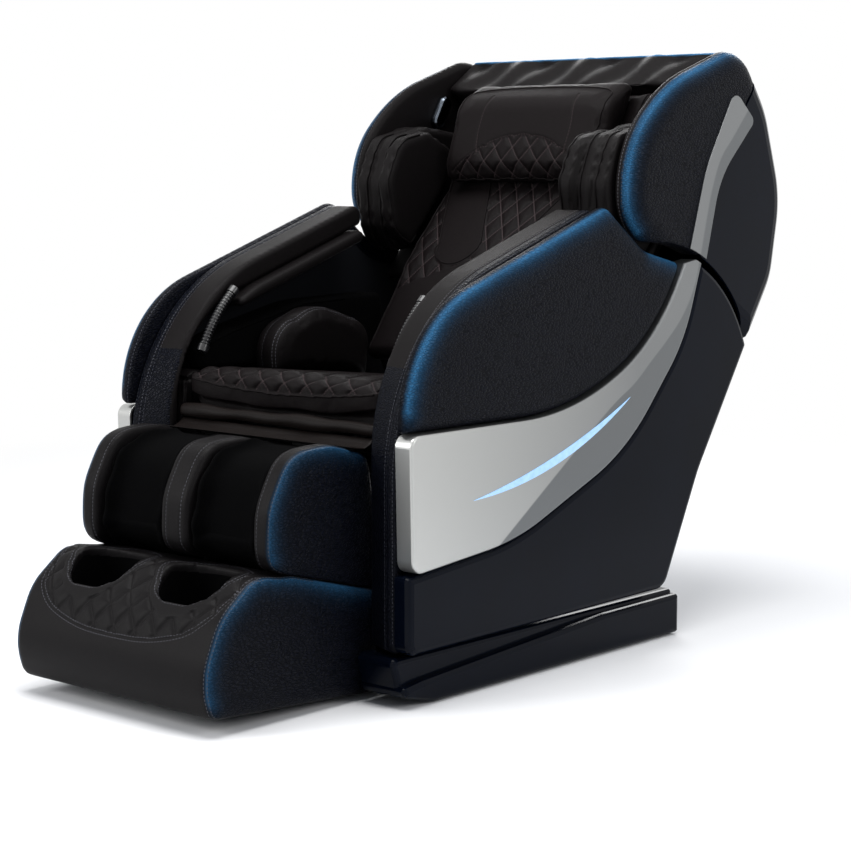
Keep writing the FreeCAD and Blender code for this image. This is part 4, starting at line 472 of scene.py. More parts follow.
def pipe(piece, line, thick, closed=False, lift=0.0):
    """Sews a bead of piping into a cover, along a line on it."""
    spots, ways = lay(piece, line, closed)
    drawn = bpy.data.curves.new("piping", "CURVE")
    drawn.dimensions = "3D"
    drawn.bevel_depth = thick / 2
    drawn.bevel_resolution = 1
    drawn.use_fill_caps = True
    spline = drawn.splines.new("POLY")
    spline.points.add(len(spots) - 1)
    spline.points.foreach_set("co", np.hstack([spots + ways * lift, np.ones((len(spots), 1))]).ravel())
    spline.use_cyclic_u = closed
    bead = bpy.data.objects.new("piping", drawn)
    bpy.context.scene.collection.objects.link(bead)
    shape = bpy.data.meshes.new_from_object(bead.evaluated_get(bpy.context.evaluated_depsgraph_get()))
    skin = bmesh.new()
    skin.from_mesh(piece.data)
    skin.from_mesh(shape)
    skin.to_mesh(piece.data)
    skin.free()
    bpy.data.objects.remove(bead)


FOAM_PRESSURE = 4.0
FOAM_STEPS = 20


def fill_with_foam(piece, cap):
    """The foam blows the cover up like cloth; no point goes further than cap."""
    start, _ = places(piece)
    modifier = piece.modifiers.new("Foam", "CLOTH")
    modifier.settings.use_pressure = True
    modifier.settings.uniform_pressure_force = FOAM_PRESSURE
    modifier.settings.effector_weights.gravity = 0
    modifier.settings.quality = 5
    scene = bpy.context.scene
    for step in range(1, FOAM_STEPS + 1):
        scene.frame_set(step)
    blown = piece.evaluated_get(bpy.context.evaluated_depsgraph_get())
    end = np.zeros(len(blown.data.vertices) * 3)
    blown.data.vertices.foreach_get("co", end)
    piece.modifiers.remove(modifier)
    scene.frame_set(1)
    move = end.reshape(-1, 3) - start
    far = np.linalg.norm(move, axis=1, keepdims=True)
    put(piece, start + move * np.minimum(1.0, cap / np.maximum(far, 1e-9)))


def second_leather(piece, material, where):
    """Gives part of a cover another leather or cloth: the faces whose middle and normal pass where."""
    piece.data.materials.append(material)
    number = len(piece.data.materials) - 1
    middles = np.zeros(len(piece.data.polygons) * 3)
    turned = np.zeros(len(piece.data.polygons) * 3)
    piece.data.polygons.foreach_get("center", middles)
    piece.data.polygons.foreach_get("normal", turned)
    marks = np.zeros(len(piece.data.polygons), np.int32)
    piece.data.polygons.foreach_get("material_index", marks)
    marks[where(middles.reshape(-1, 3), turned.reshape(-1, 3))] = number
    piece.data.polygons.foreach_set("material_index", marks)


def ready(piece, body, nodes):
    """Smooths a padded piece and fixes it to its body in place of its cores."""
    piece.data.polygons.foreach_set("use_smooth", np.ones(len(piece.data.polygons), bool))
    piece.data.update()
    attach(piece, body)
    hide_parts(*nodes)


THREAD_HALF = 0.0007
STITCH_PITCH = 0.0072
STITCH_SHARE = 0.55
QUILT_STITCHES = 9.0
QUILT_SHARE = 0.7


def leather(
    name,
    low,
    high,
    rough,
    cell_mm,
    depth_mm,
    rows=(1, 1, 1),
    shine=0.05,
    rim="#2f6893",
    stitch="#45454a",
    quilt=0.0,
):
    """Leather with an embossed or pebbled grain, a painted blue rim highlight in the colour rim, and sewn
    thread, where a piece notes them.
    quilt is the real length of one step of a quilted piece's own two noted counts."""
    made, tree, out = blank(name)
    here = {"Vector": add(tree, "ShaderNodeTexCoord").outputs["Object"]}
    turn = add(tree, "ShaderNodeMapping", {"Scale": rows}, here)
    wander = add(tree, "ShaderNodeTexNoise", {"Scale": 14.0, "Detail": 3.0}, here)
    small = {"operation": "SCALE", "Scale": 0.02}
    drift = add(tree, "ShaderNodeVectorMath", small, {0: wander.outputs["Color"]})
    moved = add(tree, "ShaderNodeVectorMath", {"operation": "ADD"}, {0: turn.outputs[0], 1: drift.outputs[0]})
    cells = add(
        tree,
        "ShaderNodeTexVoronoi",
        {"feature": "DISTANCE_TO_EDGE", "Scale": 1000 / cell_mm},
        {"Vector": moved.outputs[0]},
    )
    span = {"From Max": 0.25, "interpolation_type": "SMOOTHSTEP"}
    domed = add(tree, "ShaderNodeMapRange", span, {"Value": cells.outputs["Distance"]})
    fine = add(tree, "ShaderNodeTexNoise", {"Scale": 900.0, "Detail": 2.0}, here)
    mixed = add(
        tree,
        "ShaderNodeMath",
        {"operation": "MULTIPLY_ADD", 1: 0.15},
        {0: fine.outputs["Fac"], 2: domed.outputs[0]},
    )
    deep = {"Strength": 0.7, "Distance": depth_mm / 1000}
    bump = add(tree, "ShaderNodeBump", deep, {"Height": mixed.outputs[0]})
    ends = {"Color1": linear(low), "Color2": linear(high)}
    tint = add(tree, "ShaderNodeMixRGB", ends, {"Fac": domed.outputs[0]})
    # Painted highlight: where a piece notes a rim share, its colour is mixed towards the blue rim colour,
    # most on the cell domes.
    edge = add(tree, "ShaderNodeAttribute", {"attribute_name": "rim"})
    full = add(tree, "ShaderNodeMapRange", {"To Min": 0.7}, {"Value": domed.outputs[0]})
    ends = {0: edge.outputs["Fac"], 1: full.outputs[0]}
    rim_highlight_share = add(tree, "ShaderNodeMath", {"operation": "MULTIPLY"}, ends)
    ends = {"Fac": rim_highlight_share.outputs[0], "Color1": tint.outputs[0]}
    rim_highlighted = add(tree, "ShaderNodeMixRGB", {"Color2": linear(rim)}, ends)
    sewn = add(tree, "ShaderNodeAttribute", {"attribute_name": "seam"})
    parts = add(tree, "ShaderNodeSeparateXYZ", (), {0: sewn.outputs["Vector"]})
    near = add(tree, "ShaderNodeMath", {"operation": "ABSOLUTE"}, {0: parts.outputs["X"]})
    line = add(tree, "ShaderNodeMath", {"operation": "LESS_THAN", 1: THREAD_HALF}, {0: near.outputs[0]})
    rate = {"operation": "MULTIPLY", 1: 1 / STITCH_PITCH}
    beat = add(tree, "ShaderNodeMath", rate, {0: parts.outputs["Y"]})
    phase = add(tree, "ShaderNodeMath", {"operation": "FRACT"}, {0: beat.outputs[0]})
    dash = add(tree, "ShaderNodeMath", {"operation": "LESS_THAN", 1: STITCH_SHARE}, {0: phase.outputs[0]})
    drawn = add(tree, "ShaderNodeMath", {"operation": "MULTIPLY"}, {0: line.outputs[0], 1: dash.outputs[0]})
    ends = {0: drawn.outputs[0], 1: parts.outputs["Z"]}
    shown = add(tree, "ShaderNodeMath", {"operation": "MULTIPLY"}, ends)
    thread = add(
        tree,
        "ShaderNodeMixRGB",
        {"Color2": linear(stitch)},
        {"Fac": shown.outputs[0], "Color1": rim_highlighted.outputs[0]},
    )
    if quilt:
        lines = add(tree, "ShaderNodeAttribute", {"attribute_name": "quilt"})
        counts = add(tree, "ShaderNodeSeparateXYZ", (), {0: lines.outputs["Vector"]})
        for across, down in (("X", "Y"), ("Y", "X")):
            far = add(tree, "ShaderNodeMath", {"operation": "PINGPONG", 1: 0.5}, {0: counts.outputs[across]})
            thin = {"operation": "LESS_THAN", 1: THREAD_HALF / quilt}
            line = add(tree, "ShaderNodeMath", thin, {0: far.outputs[0]})
            rate = {"operation": "MULTIPLY", 1: QUILT_STITCHES}
            beat = add(tree, "ShaderNodeMath", rate, {0: counts.outputs[down]})
            phase = add(tree, "ShaderNodeMath", {"operation": "FRACT"}, {0: beat.outputs[0]})
            part = {"operation": "LESS_THAN", 1: QUILT_SHARE}
            dash = add(tree, "ShaderNodeMath", part, {0: phase.outputs[0]})
            ends = {0: line.outputs[0], 1: dash.outputs[0]}
            drawn = add(tree, "ShaderNodeMath", {"operation": "MULTIPLY"}, ends)
            ends = {0: drawn.outputs[0], 1: counts.outputs["Z"]}
            shown = add(tree, "ShaderNodeMath", {"operation": "MULTIPLY"}, ends)
            over = {"Fac": shown.outputs[0], "Color1": thread.outputs[0]}
            thread = add(tree, "ShaderNodeMixRGB", {"Color2": linear(stitch)}, over)
    span = {"To Min": rough + 0.08, "To Max": rough - 0.04}
    gloss = add(tree, "ShaderNodeMapRange", span, {"Value": domed.outputs[0]})
    skin = add(
        tree,
        "ShaderNodeBsdfPrincipled",
        {"Specular IOR Level": shine},
        {"Base Color": thread.outputs[0], "Roughness": gloss.outputs[0], "Normal": bump.outputs[0]},
    )
    tree.links.new(skin.outputs[0], out.inputs["Surface"])
    return made


def paint_rim_highlight(piece, share, reach, where):
    """Paints a blue highlight on a panel just past the edges that face up or forward, gone after reach."""
    spots, ways = places(piece)
    turned = np.clip(ways[:, 0] * np.sign(spots[:, 0]), 0, 1)
    shown = ((ways[:, 2] > 0.2) | (ways[:, 1] < -0.5)) & (ways[:, 1] < 0.25)
    rim = (turned < 0.6) & shown & where(spots)
    near = kdtree.KDTree(int(rim.sum()))
    for count, spot in enumerate(spots[rim]):
        near.insert(spot, count)
    near.balance()
    far = np.array([near.find(spot)[2] for spot in spots])
    patchy = 0.85 + 0.15 * np.sin(spots[:, 1] * 31) * np.sin(spots[:, 2] * 23)
    note(piece, "rim", share * patchy * ease(turned, 0.1, 0.6) * np.exp(-far / reach))


CROC_ROWS = (1.0, 0.6, 1.4)
croc_leather = leather(
    "croc_embossed_leather", "#020307", "#0c0e16", 0.34, 6.0, 1.3, CROC_ROWS, stitch="#3a3b41"
)
soft_leather = leather("matte_brown_black_leather", "#080707", "#141112", 0.46, 1.6, 0.12, shine=0.06)
ARM_CENTRE = (0.12, 0.28)
SEAM_X = 0.350
SEAM_OFF = 0.005
BOLSTER_X = 0.325


def inner_bolster(p, n):
    """True on the smooth bolster along an arm's inner edge, which ends above the seat."""
    return (np.abs(p[:, 0]) < BOLSTER_X) & ((p[:, 2] > 0.60) | (n[:, 1] > -0.6))


for side, sign in (("left", 1), ("right", -1)):
    panel = cover("side_panel_" + side, "side_leather_" + side, 0.006, 4)
    finer(panel)
    # Painted blue highlight along the panel's edges that face up or forward.
    paint_rim_highlight(panel, 0.85, 0.010, lambda p: p[:, 2] > 0.53)
    sew(panel, skyline(panel, sign * (SEAM_X + SEAM_OFF), ARM_CENTRE, 165, 88), *FLAT_SEAM)
    panel.data.materials.append(croc_leather)
    ready(panel, "seat", ["side_panel_" + side])
    band = cover("arm_band_" + side, "arm_cover_" + side, 0.0055, 4)
    finer(band)
    sew(band, skyline(band, sign * (SEAM_X - SEAM_OFF - 0.001), ARM_CENTRE, 196, 88), *FLAT_SEAM)
    sew(band, skyline(band, sign * BOLSTER_X, ARM_CENTRE, 205, 88), *DEEP_SEAM, ROW_OFF)
    band.data.materials.append(croc_leather)
    second_leather(band, soft_leather, inner_bolster)
    ready(band, "seat", ["arm_band_" + side])

# Pads, trays and gussets inside the arms: soft matte leather over foam, and stretch cloth in the slot.
# The gusset is a cloth curtain in front of the seat, gathered under a strip of elastic at its top; here it is
# given the soft leather.
black_cloth = leather("black_stretch_cloth", "#020202", "#050506", 0.95, 0.9, 0.1, shine=0.03)
pads = cover("arm_inner_pads", "arm_inner_pads_cover", 0.005, 5)
pads.data.materials.append(soft_leather)
ready(pads, "seat", ["arm_inner_pads"])
trays = cover("arm_trays", "arm_slot_liners", 0.005, 5)
finer(trays)
for sign in (1, -1):
    pipe(trays, skyline(trays, sign * 0.264, (0.0, 0.5), 165, 60), PIPING)
trays.data.materials.append(black_cloth)
ready(trays, "seat", ["arm_trays"])
gussets = cover("arm_gussets", "arm_gathered_cloth", 0.005, 5)
finer(gussets)
spots, ways = places(gussets)
GATHER_TOP = 0.557
GATHER_PITCH = 0.013
ELASTIC_DROP = 0.016
drop = np.clip(GATHER_TOP - spots[:, 2], 0, 1)
count = (np.abs(spots[:, 0]) - spots[:, 1]) / GATHER_PITCH
ripple = np.sin(2 * math.pi * count + 4 * np.sin(9 * spots[:, 2]))
slack = 0.5 * np.sin((spots[:, 1] - spots[:, 0]) * 55 + 7 * spots[:, 2])
fold = 0.0028 * (ripple * np.exp(-drop / 0.035) + slack * ease(drop, 0.02, 0.08)) - 0.002
elastic = 0.004 * np.exp(-((drop - ELASTIC_DROP) / 0.004) ** 2)
put(gussets, spots + ways * ((fold - elastic) * (np.abs(ways[:, 2]) < 0.6))[:, None])
gussets.data.materials.append(soft_leather)
ready(gussets, "seat", ["arm_gussets"])

# Arm hoses: black ribbed plastic air hose between the arm and its tray.
shiny_hose = grained("black_ribbed_pvc", ("#0a0a0c", "#141417"), 0.3, 0.0, 0.9, 0.05, 0.05, 0.6)
dress(["arm_hoses"], shiny_hose)

# Seat cushion: foam under leather, quilted in diamonds over its top and front edge, with piping
# below the quilting, a plain hem that hangs free, and a rolled leather lip under it.
SEAT_CELL = (0.058, 0.078)
HEM_TUCK = 0.024
quilted_leather = leather(
    "quilted_brown_black_leather", "#090707", "#151112", 0.46, 1.6, 0.12, stitch="#352d2e", quilt=0.0225
)


QUILT_WIDE = 0.006


def quilt(piece, u, v, cell, depth, where):
    """Quilts a cover in diamonds of a cell's width and height, where its points ask for it."""
    spots, ways = places(piece)
    first = u / cell[0] + v / cell[1]
    second = u / cell[0] - v / cell[1]
    size = 1 / math.hypot(1 / cell[0], 1 / cell[1])
    far = np.minimum(np.abs(first - np.round(first)), np.abs(second - np.round(second))) * size
    put(piece, spots - ways * (depth * np.exp(-far / QUILT_WIDE) * where)[:, None])
    note(piece, "quilt", np.stack([first, second, where], 1))


def seat_pipe_z(x):
    """Height of the piping under the seat's quilted front edge."""
    return 0.531 + 0.013 * (abs(x) / 0.21) ** 2


def seat_hem_z(x):
    """Height of the seat's hanging hem, which waves a little."""
    return 0.504 + 0.010 * (np.abs(x) / 0.22) ** 4 + 0.002 * np.sin(x * 38)


cushion = cover("seat_cushion", "seat_cushion_cover", 0.005, 6, 0.002)
fill_with_foam(cushion, 0.006)
finer(cushion)
spots, ways = places(cushion)
front = ease(-spots[:, 1], 0.325, 0.350)
under = ease(seat_hem_z(spots[:, 0]) - spots[:, 2], -0.001, 0.003)
put(cushion, spots + np.outer(HEM_TUCK * front * under, [0, 1, 0]))
spots, ways = places(cushion)
above = ease(spots[:, 2] - seat_pipe_z(spots[:, 0]), 0.0, 0.004) * ease(ways[:, 2] - ways[:, 1], 0.4, 0.8)
quilt(cushion, spots[:, 0] - 0.010, spots[:, 1] + spots[:, 2] - 0.199, SEAT_CELL, 0.0065, above)
row = [(x, -0.372, seat_pipe_z(x)) for x in np.linspace(-0.245, 0.245, 15)]
pipe(cushion, row, PIPING)
cushion.data.materials.append(quilted_leather)
ready(cushion, "seat", ["seat_cushion"])
roll = cover("seat_front_cover", "seat_front_roll", 0.004, 4)
finer(roll)
spots, ways = places(roll)
crease = np.sin(spots[:, 0] * 47 + 60 * spots[:, 2]) * 0.0012 + np.sin(spots[:, 0] * 21) * 0.0018
put(roll, spots + ways * crease[:, None] - np.outer(0.002 * np.ones(len(spots)), [0, 0, 1]))
roll_leather = leather("warm_brown_black_leather", "#0b0807", "#15100f", 0.42, 1.6, 0.12, shine=0.08)
roll.data.materials.append(roll_leather)
ready(roll, "seat", ["seat_front_cover"])

# Hip airbags: two domed leather pads that stand on the seat, each with a border strip sewn on.
HIP_PUFF = 0.004
hips = cover("hip_airbags", "hip_airbag_covers", 0.005, 6, 0.002)
fill_with_foam(hips, 0.005)
finer(hips)
spots, ways = places(hips)
put(hips, spots + ways * HIP_PUFF)
HIP_CENTRE = (-0.03, 0.55)
for sign in (1, -1):
    sew(hips, skyline(hips, sign * 0.1995, HIP_CENTRE, 175, 15), *DEEP_SEAM, ROW_OFF)
    sew(hips, skyline(hips, sign * 0.232, HIP_CENTRE, 175, 15), 0.0015, 0.003)
hips.data.materials.append(soft_leather)
ready(hips, "seat", ["hip_airbags"])

# Back pad: a long foam pad with a quilted middle, two plain inlays and quilted edges, all piped. Its
# rear is drawn in, clear of the massage rollers.
PAD_FRONT = np.array([(0.118, 0.552), (0.249, 0.752), (0.396, 0.908), (0.502, 1.120)])
PAD_CELL = (0.045, 0.072)
INLAY_HALF = 0.057
INLAY_LOW = 0.291
REAR_SINK = 0.009
PROUD = 0.01


def along(profile, spots):
    """How far along a profile drawn in (y, z) each point lies."""
    best = np.full(len(spots), np.inf)
    run = np.zeros(len(spots))
    done = 0.0
    for a, b in zip(profile, profile[1:]):
        long = np.linalg.norm(b - a)
        share = (spots[:, 1:] - a) @ (b - a) / long ** 2
        kept = np.clip(share, 0, 1)
        far = np.linalg.norm(spots[:, 1:] - a - np.outer(kept, b - a), axis=1)
        run = np.where(far < best, done + kept * long, run)
        best = np.minimum(far, best)
        done += long
    return run


def proud(x, run):
    """A point just in front of the back pad, a given way along its profile."""
    marks = np.concatenate([[0], np.cumsum(np.linalg.norm(np.diff(PAD_FRONT, axis=0), axis=1))])
    y, z = (float(np.interp(run, marks, PAD_FRONT[:, k])) for k in (0, 1))
    return x, y - PROUD, z + PROUD


def inlay_centre(run):
    """How far from the middle of the back pad an inlay's centre line lies."""
    return 0.103 + 0.4 * (run - 0.295)


back_pad = cover("back_pad", "back_pad_cover", 0.005, 6, 0.002)
fill_with_foam(back_pad, 0.006)
finer(back_pad)
spots, ways = places(back_pad)
put(back_pad, spots - ways * (REAR_SINK * ease(ways[:, 1], 0.2, 0.6))[:, None])
spots, ways = places(back_pad)
run = along(PAD_FRONT, spots)
beside = np.abs(spots[:, 0]) - inlay_centre(np.maximum(run, INLAY_LOW))
inlay = np.where(run > INLAY_LOW, np.abs(beside), np.hypot(beside, run - INLAY_LOW)) - INLAY_HALF
low_edge = 0.165 + 0.10 * (0.23 - np.abs(spots[:, 0])) / 0.23
sewn_part = ease(inlay, 0.001, 0.005) * ease(-ways[:, 1], 0.1, 0.4) * ease(run - low_edge, 0.0, 0.004)
sewn_part *= ease(0.224 - np.abs(spots[:, 0]), 0.0, 0.004)
quilt(back_pad, spots[:, 0] - 0.006, run - 0.378, PAD_CELL, 0.0055, sewn_part)
for sign in (1, -1):
    edge = []
    for t in np.linspace(0.60, INLAY_LOW, 9):
        edge.append((inlay_centre(t) + INLAY_HALF, t))
    for turn in np.radians((-30, -60, -90, -120, -150)):
        low = (inlay_centre(INLAY_LOW) + INLAY_HALF * math.cos(turn), INLAY_LOW + INLAY_HALF * math.sin(turn))
        edge.append(low)
    for t in np.linspace(INLAY_LOW, 0.60, 9):
        edge.append((inlay_centre(t) - INLAY_HALF, t))
    line = [proud(sign * x, t) for x, t in edge]
    pipe(back_pad, line, THIN_PIPING)
    line = [proud(sign * 0.228, t) for t in np.linspace(0.02, 0.68, 14)]
    pipe(back_pad, line, PIPING)
back_pad.data.materials.append(quilted_leather)
ready(back_pad, "back", ["back_pad"])

# Head pillow: a loose pad on the top of the back pad, plain above and quilted under an arched seam.
PILLOW_CELL = (0.0476, 0.059)


def arch_z(x):
    """Height of the pillow's arched seam."""
    return 1.021 - 0.061 * (np.abs(x) / 0.156) ** 2.2


pillow = cover("head_pillow", "head_pillow_cover", 0.005, 6, 0.002)
fill_with_foam(pillow, 0.007)
finer(pillow)
spots, ways = places(pillow)
under = ease(arch_z(spots[:, 0]) - spots[:, 2], 0.001, 0.005) * ease(-ways[:, 1], 0.2, 0.5)
under *= ease(spots[:, 2], 0.918, 0.926) * ease(0.178 - np.abs(spots[:, 0]), 0, 0.004)
quilt(pillow, spots[:, 0] + 0.0205, spots[:, 2] - 0.935, PILLOW_CELL, 0.005, under)
sew(pillow, [(x, 0.34, float(arch_z(x))) for x in np.linspace(-0.172, 0.172, 17)], *DEEP_SEAM)
for sign in (1, -1):
    line = [(sign * 0.118, 0.36, 0.99), (sign * 0.122, 0.37, 1.04), (sign * 0.115, 0.40, 1.10)]
    sew(pillow, line, 0.0012, 0.003)
ring = [(-0.198, 0.35, 0.93), (-0.19, 0.36, 0.915), (0.0, 0.35, 0.911), (0.19, 0.36, 0.915)]
ring += [(0.198, 0.35, 0.93), (0.198, 0.35, 1.0), (0.196, 0.38, 1.09), (0.18, 0.42, 1.122)]
ring += [(0.0, 0.43, 1.128), (-0.18, 0.42, 1.122), (-0.196, 0.38, 1.09), (-0.198, 0.35, 1.0)]
pipe(pillow, ring, THIN_PIPING, closed=True)
pillow.data.materials.append(quilted_leather)
ready(pillow, "pillow", ["head_pillow"])

# Hood lining: soft leather glued inside the shell, loose enough to fold above the pillow.
FOLD_HIGH = 0.005
LINING_SINK = 0.003
lining = cover("hood_lining", "hood_lining_leather", 0.005, 4)
finer(lining)
spots, ways = places(lining)
roof = ease(spots[:, 2], 1.09, 1.11) * ease(-ways[:, 1], 0.2, 0.5)
fold = np.sin(spots[:, 0] * 34 + 55 * spots[:, 2]) + 0.6 * np.sin(spots[:, 0] * 71 - 40 * spots[:, 1])
put(lining, spots + ways * (roof * (FOLD_HIGH * fold - LINING_SINK))[:, None])
spots, ways = places(lining)
# Painted highlight: a blue line along the lining's top crest where it faces forward, noted as its rim share.
crest = spots[:, 2].max()
note(lining, "rim", 0.9 * ease(spots[:, 2], crest - 0.005, crest - 0.003) * (ways[:, 1] < -0.1))
lining.data.materials.append(soft_leather)
ready(lining, "back", ["hood_lining"])

# Shoulder airbags: three leather bags side by side at each shoulder, with piping round each.
shoulders = cover("shoulder_airbags", "shoulder_airbag_covers", 0.005, 5, 0.001)
finer(shoulders)
BAG_CENTRE = (0.32, 0.90)
TUCK_HIGH = 0.0016
spots, ways = places(shoulders)
bearing = np.arctan2(spots[:, 2] - BAG_CENTRE[1], spots[:, 1] - BAG_CENTRE[0])
turned = np.abs(ways[:, 0])
tuck = np.sin(bearing * 17 + 2.2 * np.sin(bearing * 5)) * ease(1 - turned, 0.2, 0.5) * ease(turned, 0.1, 0.4)
put(shoulders, spots + ways * (TUCK_HIGH * tuck)[:, None])
for sign in (1, -1):
    for x in (0.229, 0.2665, 0.304):
        pipe(shoulders, skyline(shoulders, sign * x, BAG_CENTRE, 100, 250), PIPING, lift=0.001)
shoulders.data.materials.append(soft_leather)
ready(shoulders, "back", ["shoulder_airbags"])

# Hood wings: croc leather outside and soft leather inside, sewn together along the front edge.
WING_CENTRE = (0.47, 0.96)
for side, sign in (("left", 1), ("right", -1)):
    wing = cover("hood_wing_" + side, "hood_wing_leather_" + side, 0.0055, 4)
    finer(wing)
    # Painted blue highlight along the wing's edges that face up or forward.
    paint_rim_highlight(wing, 0.75, 0.007, lambda p: p[:, 2] > 0.80)
    sew(wing, skyline(wing, sign * 0.352, WING_CENTRE, 75, 235), *DEEP_SEAM, ROW_OFF)
    wing.data.materials.append(croc_leather)
    second_leather(wing, soft_leather, lambda p, n: np.abs(p[:, 0]) < 0.3515)
    ready(wing, "back", ["hood_wing_" + side])

# Leg rest: foam walls with croc leather outside and a smooth strip in front, and a padded divider
# between them, all sewn in double-lined strips round their fronts.
CALF_CENTRE = (-0.46, 0.34)
CALF_LOWER = 0.003
strip_leather = leather("smooth_grey_brown_leather", "#080708", "#110f10", 0.42, 1.6, 0.1, shine=0.07)
calves = cover("calf_sides", "calf_side_leather", 0.005, 5)
finer(calves)
round_off(calves, 0.230, CALF_CENTRE)
spots, ways = places(calves)
put(calves, spots - np.outer(CALF_LOWER * ease(-ways[:, 2], 0.3, 0.7), [0, 0, 1]))
# Painted blue highlight along the calf sides' edges that face up or forward.
paint_rim_highlight(calves, 0.42, 0.010, lambda p: p[:, 2] > 0.28)
for sign in (1, -1):
    sew(calves, skyline(calves, sign * 0.2165, CALF_CENTRE, 70, 250), *FLAT_SEAM)
    sew(calves, skyline(calves, sign * 0.2445, CALF_CENTRE, 70, 250), *FIRM_SEAM)
calves.data.materials.append(croc_leather)
second_leather(calves, strip_leather, lambda p, n: np.abs(p[:, 0]) < 0.247)
ready(calves, "leg", ["calf_sides"])
divider = cover("calf_divider", "calf_divider_leather", 0.005, 5)
finer(divider)
round_off(divider, 0.0, CALF_CENTRE)
for sign in (1, -1):
    sew(divider, skyline(divider, sign * 0.019, CALF_CENTRE, 75, 250), *FLAT_SEAM)
divider.data.materials.append(strip_leather)
ready(divider, "leg", ["calf_divider"])

# Calf wells: a sling of black stretch cloth at each side of the divider, sewn along both walls, with
# its edges a little wavy. It stands in for the padded core behind it.
CALF_FRONT = np.array(
    [(-0.414, 0.446), (-0.442, 0.458), (-0.479, 0.466), (-0.540, 0.460), (-0.580, 0.438), (-0.604, 0.398)]
    + [(-0.620, 0.345), (-0.626, 0.310), (-0.623, 0.282), (-0.600, 0.260), (-0.560, 0.246), (-0.506, 0.233)]
    + [(-0.44, 0.215)]
)
WELL_MIDDLE = 0.1205
WELL_HALF = 0.0830
WELL_DEEP = 0.034
CLOTH_THICK = 0.012
rows = np.linspace(0, 1, 151)
marks = np.linspace(0, 1, len(CALF_FRONT))
sling = np.stack([np.interp(rows, marks, CALF_FRONT[:, k]) for k in (0, 1)], 1)
for _ in range(80):
    sling[1:-1] = (sling[:-2] + 2 * sling[1:-1] + sling[2:]) / 4
slope = np.gradient(sling, axis=0)
bpy.ops.object.select_all(action="DESELECT")
wells = []
for sign in (1, -1):
    bpy.ops.mesh.primitive_grid_add(x_subdivisions=56, y_subdivisions=150, size=2)
    well = bpy.context.object
    spots, _ = places(well)
    across, down = spots[:, 0], (spots[:, 1] + 1) / 2
    middle = np.stack([np.interp(down, rows, sling[:, k]) for k in (0, 1)], 1)
    way = np.stack([np.interp(down, rows, slope[:, k]) for k in (0, 1)], 1)
    way /= np.linalg.norm(way, axis=1, keepdims=True)
    inward = np.stack([-way[:, 1], way[:, 0]], 1)
    inward *= -np.sign((inward * (middle - CALF_CENTRE)).sum(1, keepdims=True))
    wave = 0.0025 * np.sin(down * 46 + across * 1.7) * np.abs(across) ** 3
    bowl = np.sin(np.clip(down * 1.06, 0, 1) * math.pi) ** 0.8
    deep = 0.008 + WELL_DEEP * (1 - np.abs(across) ** 6) * bowl + wave
    rest = np.stack([sign * (WELL_MIDDLE + WELL_HALF * across), *(middle + inward * deep[:, None]).T], 1)
    put(well, rest)
    apply(well, "SMOOTH", factor=0.5, iterations=4)
    apply(well, "SOLIDIFY", thickness=CLOTH_THICK, offset=-1 if sign > 0 else 1)
    wells.append(well)
bpy.ops.object.select_all(action="DESELECT")
for well in wells:
    well.select_set(True)
bpy.context.view_layer.objects.active = wells[0]
bpy.ops.object.join()
cloth = wells[0]
cloth.name = "calf_well_cloth"
skin = bmesh.new()
skin.from_mesh(cloth.data)
bmesh.ops.recalc_face_normals(skin, faces=skin.faces)
skin.to_mesh(cloth.data)
skin.free()
cloth.data.materials.clear()
cloth.data.materials.append(black_cloth)
ready(cloth, "leg", ["calf_back"])

# Lap: a sheet of leather from under the seat's roll to the top of the leg rest. It covers the hinge.
LAP = np.array([(-0.366, 0.4690), (-0.378, 0.4600), (-0.392, 0.4540), (-0.410, 0.4560), (-0.430, 0.4605)])
LAP_HALF = 0.253
LAP_THICK = 0.0012
bpy.ops.mesh.primitive_grid_add(x_subdivisions=80, y_subdivisions=20, size=2)
lap = bpy.context.object
lap.name = "hinge_lap"
spots, _ = places(lap)
down = (spots[:, 1] + 1) / 2
marks = np.linspace(0, 1, len(LAP))
put(lap, np.stack([spots[:, 0] * LAP_HALF, *[np.interp(down, marks, LAP[:, k]) for k in (0, 1)]], 1))
apply(lap, "SOLIDIFY", thickness=LAP_THICK, offset=0)
lap.data.polygons.foreach_set("use_smooth", np.ones(len(lap.data.polygons), bool))
lap.data.materials.append(roll_leather)
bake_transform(lap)

# Foot rest: foam over a moulded shell. Smooth leather in front with a quilted crescent, croc leather
# at the sides, and cloth in the two wells for the feet.
FOOT_FRONT = np.array(
    [(-0.356, 0.190), (-0.576, 0.248), (-0.666, 0.262), (-0.747, 0.200), (-0.790, 0.100), (-0.769, 0.030)]
)
FOOT_CENTRE = (-0.60, 0.12)
FOOT_CELL = (0.054, 0.075)
WELL_Y = -0.666
WELL_X = 0.119
RIM_Z = 0.27
SIDE_SEAM_X = 0.249
FOOT_ROW_OFF = 0.0035
FOOT_RAISE = 0.003
RIM_HALF = (0.094, 0.081)
CRESCENT = [(0.0, -0.7715, 0.143), (0.09, -0.770, 0.147), (0.17, -0.7615, 0.165), (0.210, -0.748, 0.188)]
CRESCENT += [(0.231, -0.728, 0.211), (0.240, -0.690, 0.243), (0.244, -0.661, 0.255)]
foot = cover("foot_shell", "foot_leather", 0.005, 5)
finer(foot)
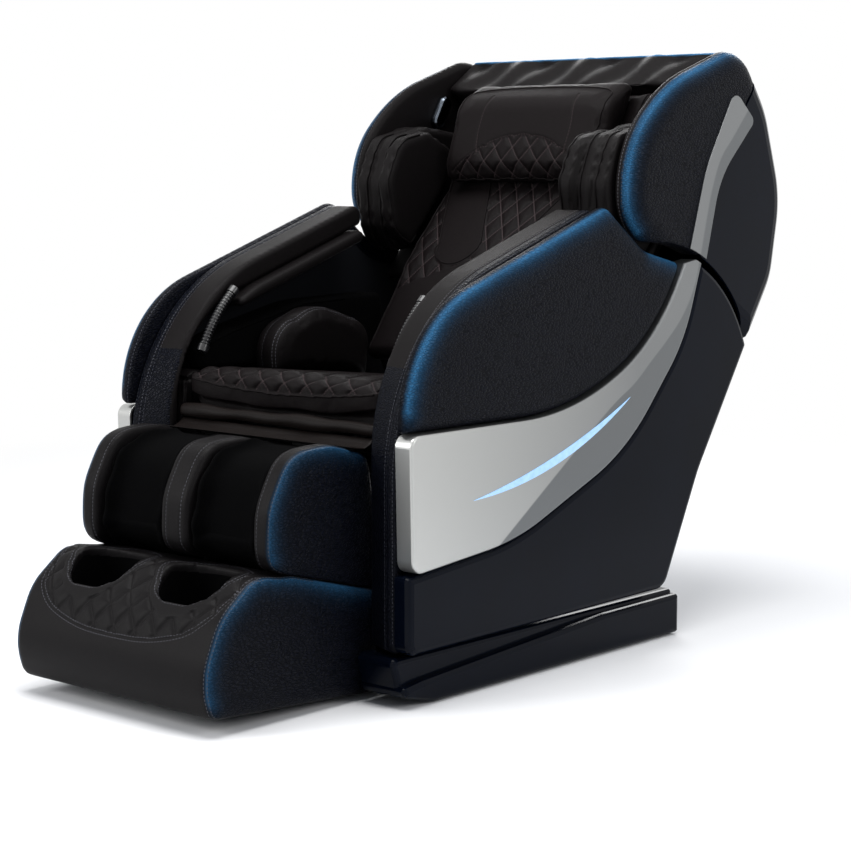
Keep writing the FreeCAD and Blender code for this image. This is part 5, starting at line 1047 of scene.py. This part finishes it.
# Painted blue highlight along the foot rest's outer edges that face up or forward.
paint_rim_highlight(foot, 0.42, 0.010, lambda p: (p[:, 2] > 0.06) & (np.abs(p[:, 0]) > 0.2))
spots, ways = places(foot)
rear_top = ease(ways[:, 2], 0.5, 0.9) * ease(spots[:, 1], -0.60, -0.57)
put(foot, spots + np.outer(FOOT_RAISE * rear_top, [0, 0, 1]))
spots, ways = places(foot)
run = along(FOOT_FRONT, spots)
edge_x = np.array([p[0] for p in CRESCENT])
edge_run = along(FOOT_FRONT, np.array(CRESCENT))
low_edge = np.interp(np.abs(spots[:, 0]), edge_x, edge_run)
off = np.stack([np.abs(spots[:, 0]) - WELL_X, spots[:, 1] - WELL_Y], 1)
oval = np.linalg.norm(off / RIM_HALF, axis=1)
outer = ease(ways[:, 2] - ways[:, 1], 0.3, 0.6) * ease(spots[:, 2], 0.10, 0.12) * ease(oval, 1.02, 1.06)
sewn_part = ease(low_edge - run, 0.001, 0.005) * outer * ease(-spots[:, 1], 0.64, 0.66)
start = float(along(FOOT_FRONT, np.array([(0, -0.748, 0.192)]))[0])
quilt(foot, spots[:, 0] - 0.0235, run - start, FOOT_CELL, 0.005, sewn_part)
line = [(-x, y, z) for x, y, z in CRESCENT[:0:-1]] + CRESCENT
sew(foot, line, 0.0018, 0.003, 0.004)
for sign in (1, -1):
    sew(foot, skyline(foot, sign * SIDE_SEAM_X, FOOT_CENTRE, 60, 215), *FIRM_SEAM, FOOT_ROW_OFF)
    rim = []
    for turn in np.linspace(0, 2 * math.pi, 25)[:-1]:
        x, y = sign * WELL_X + RIM_HALF[0] * math.cos(turn), WELL_Y + RIM_HALF[1] * math.sin(turn)
        rim.append((x, y, RIM_Z))
    sew(foot, rim, *FIRM_SEAM, FOOT_ROW_OFF, closed=True)
foot.data.materials.append(strip_leather)
second_leather(foot, croc_leather, lambda p, n: np.abs(p[:, 0]) > 0.2525)


def in_well(p, n):
    """True in the wells, below the leather's top surface."""
    top = np.interp(-p[:, 1], -FOOT_FRONT[:-1, 0], FOOT_FRONT[:-1, 1])
    near = (np.abs(np.abs(p[:, 0]) - WELL_X) < 0.080) & (p[:, 1] > -0.735) & (p[:, 1] < -0.50)
    return near & (p[:, 2] < top - 0.016) & (p[:, 2] > 0.03)


second_leather(foot, black_cloth, in_well)
ready(foot, "foot", ["foot_shell"])
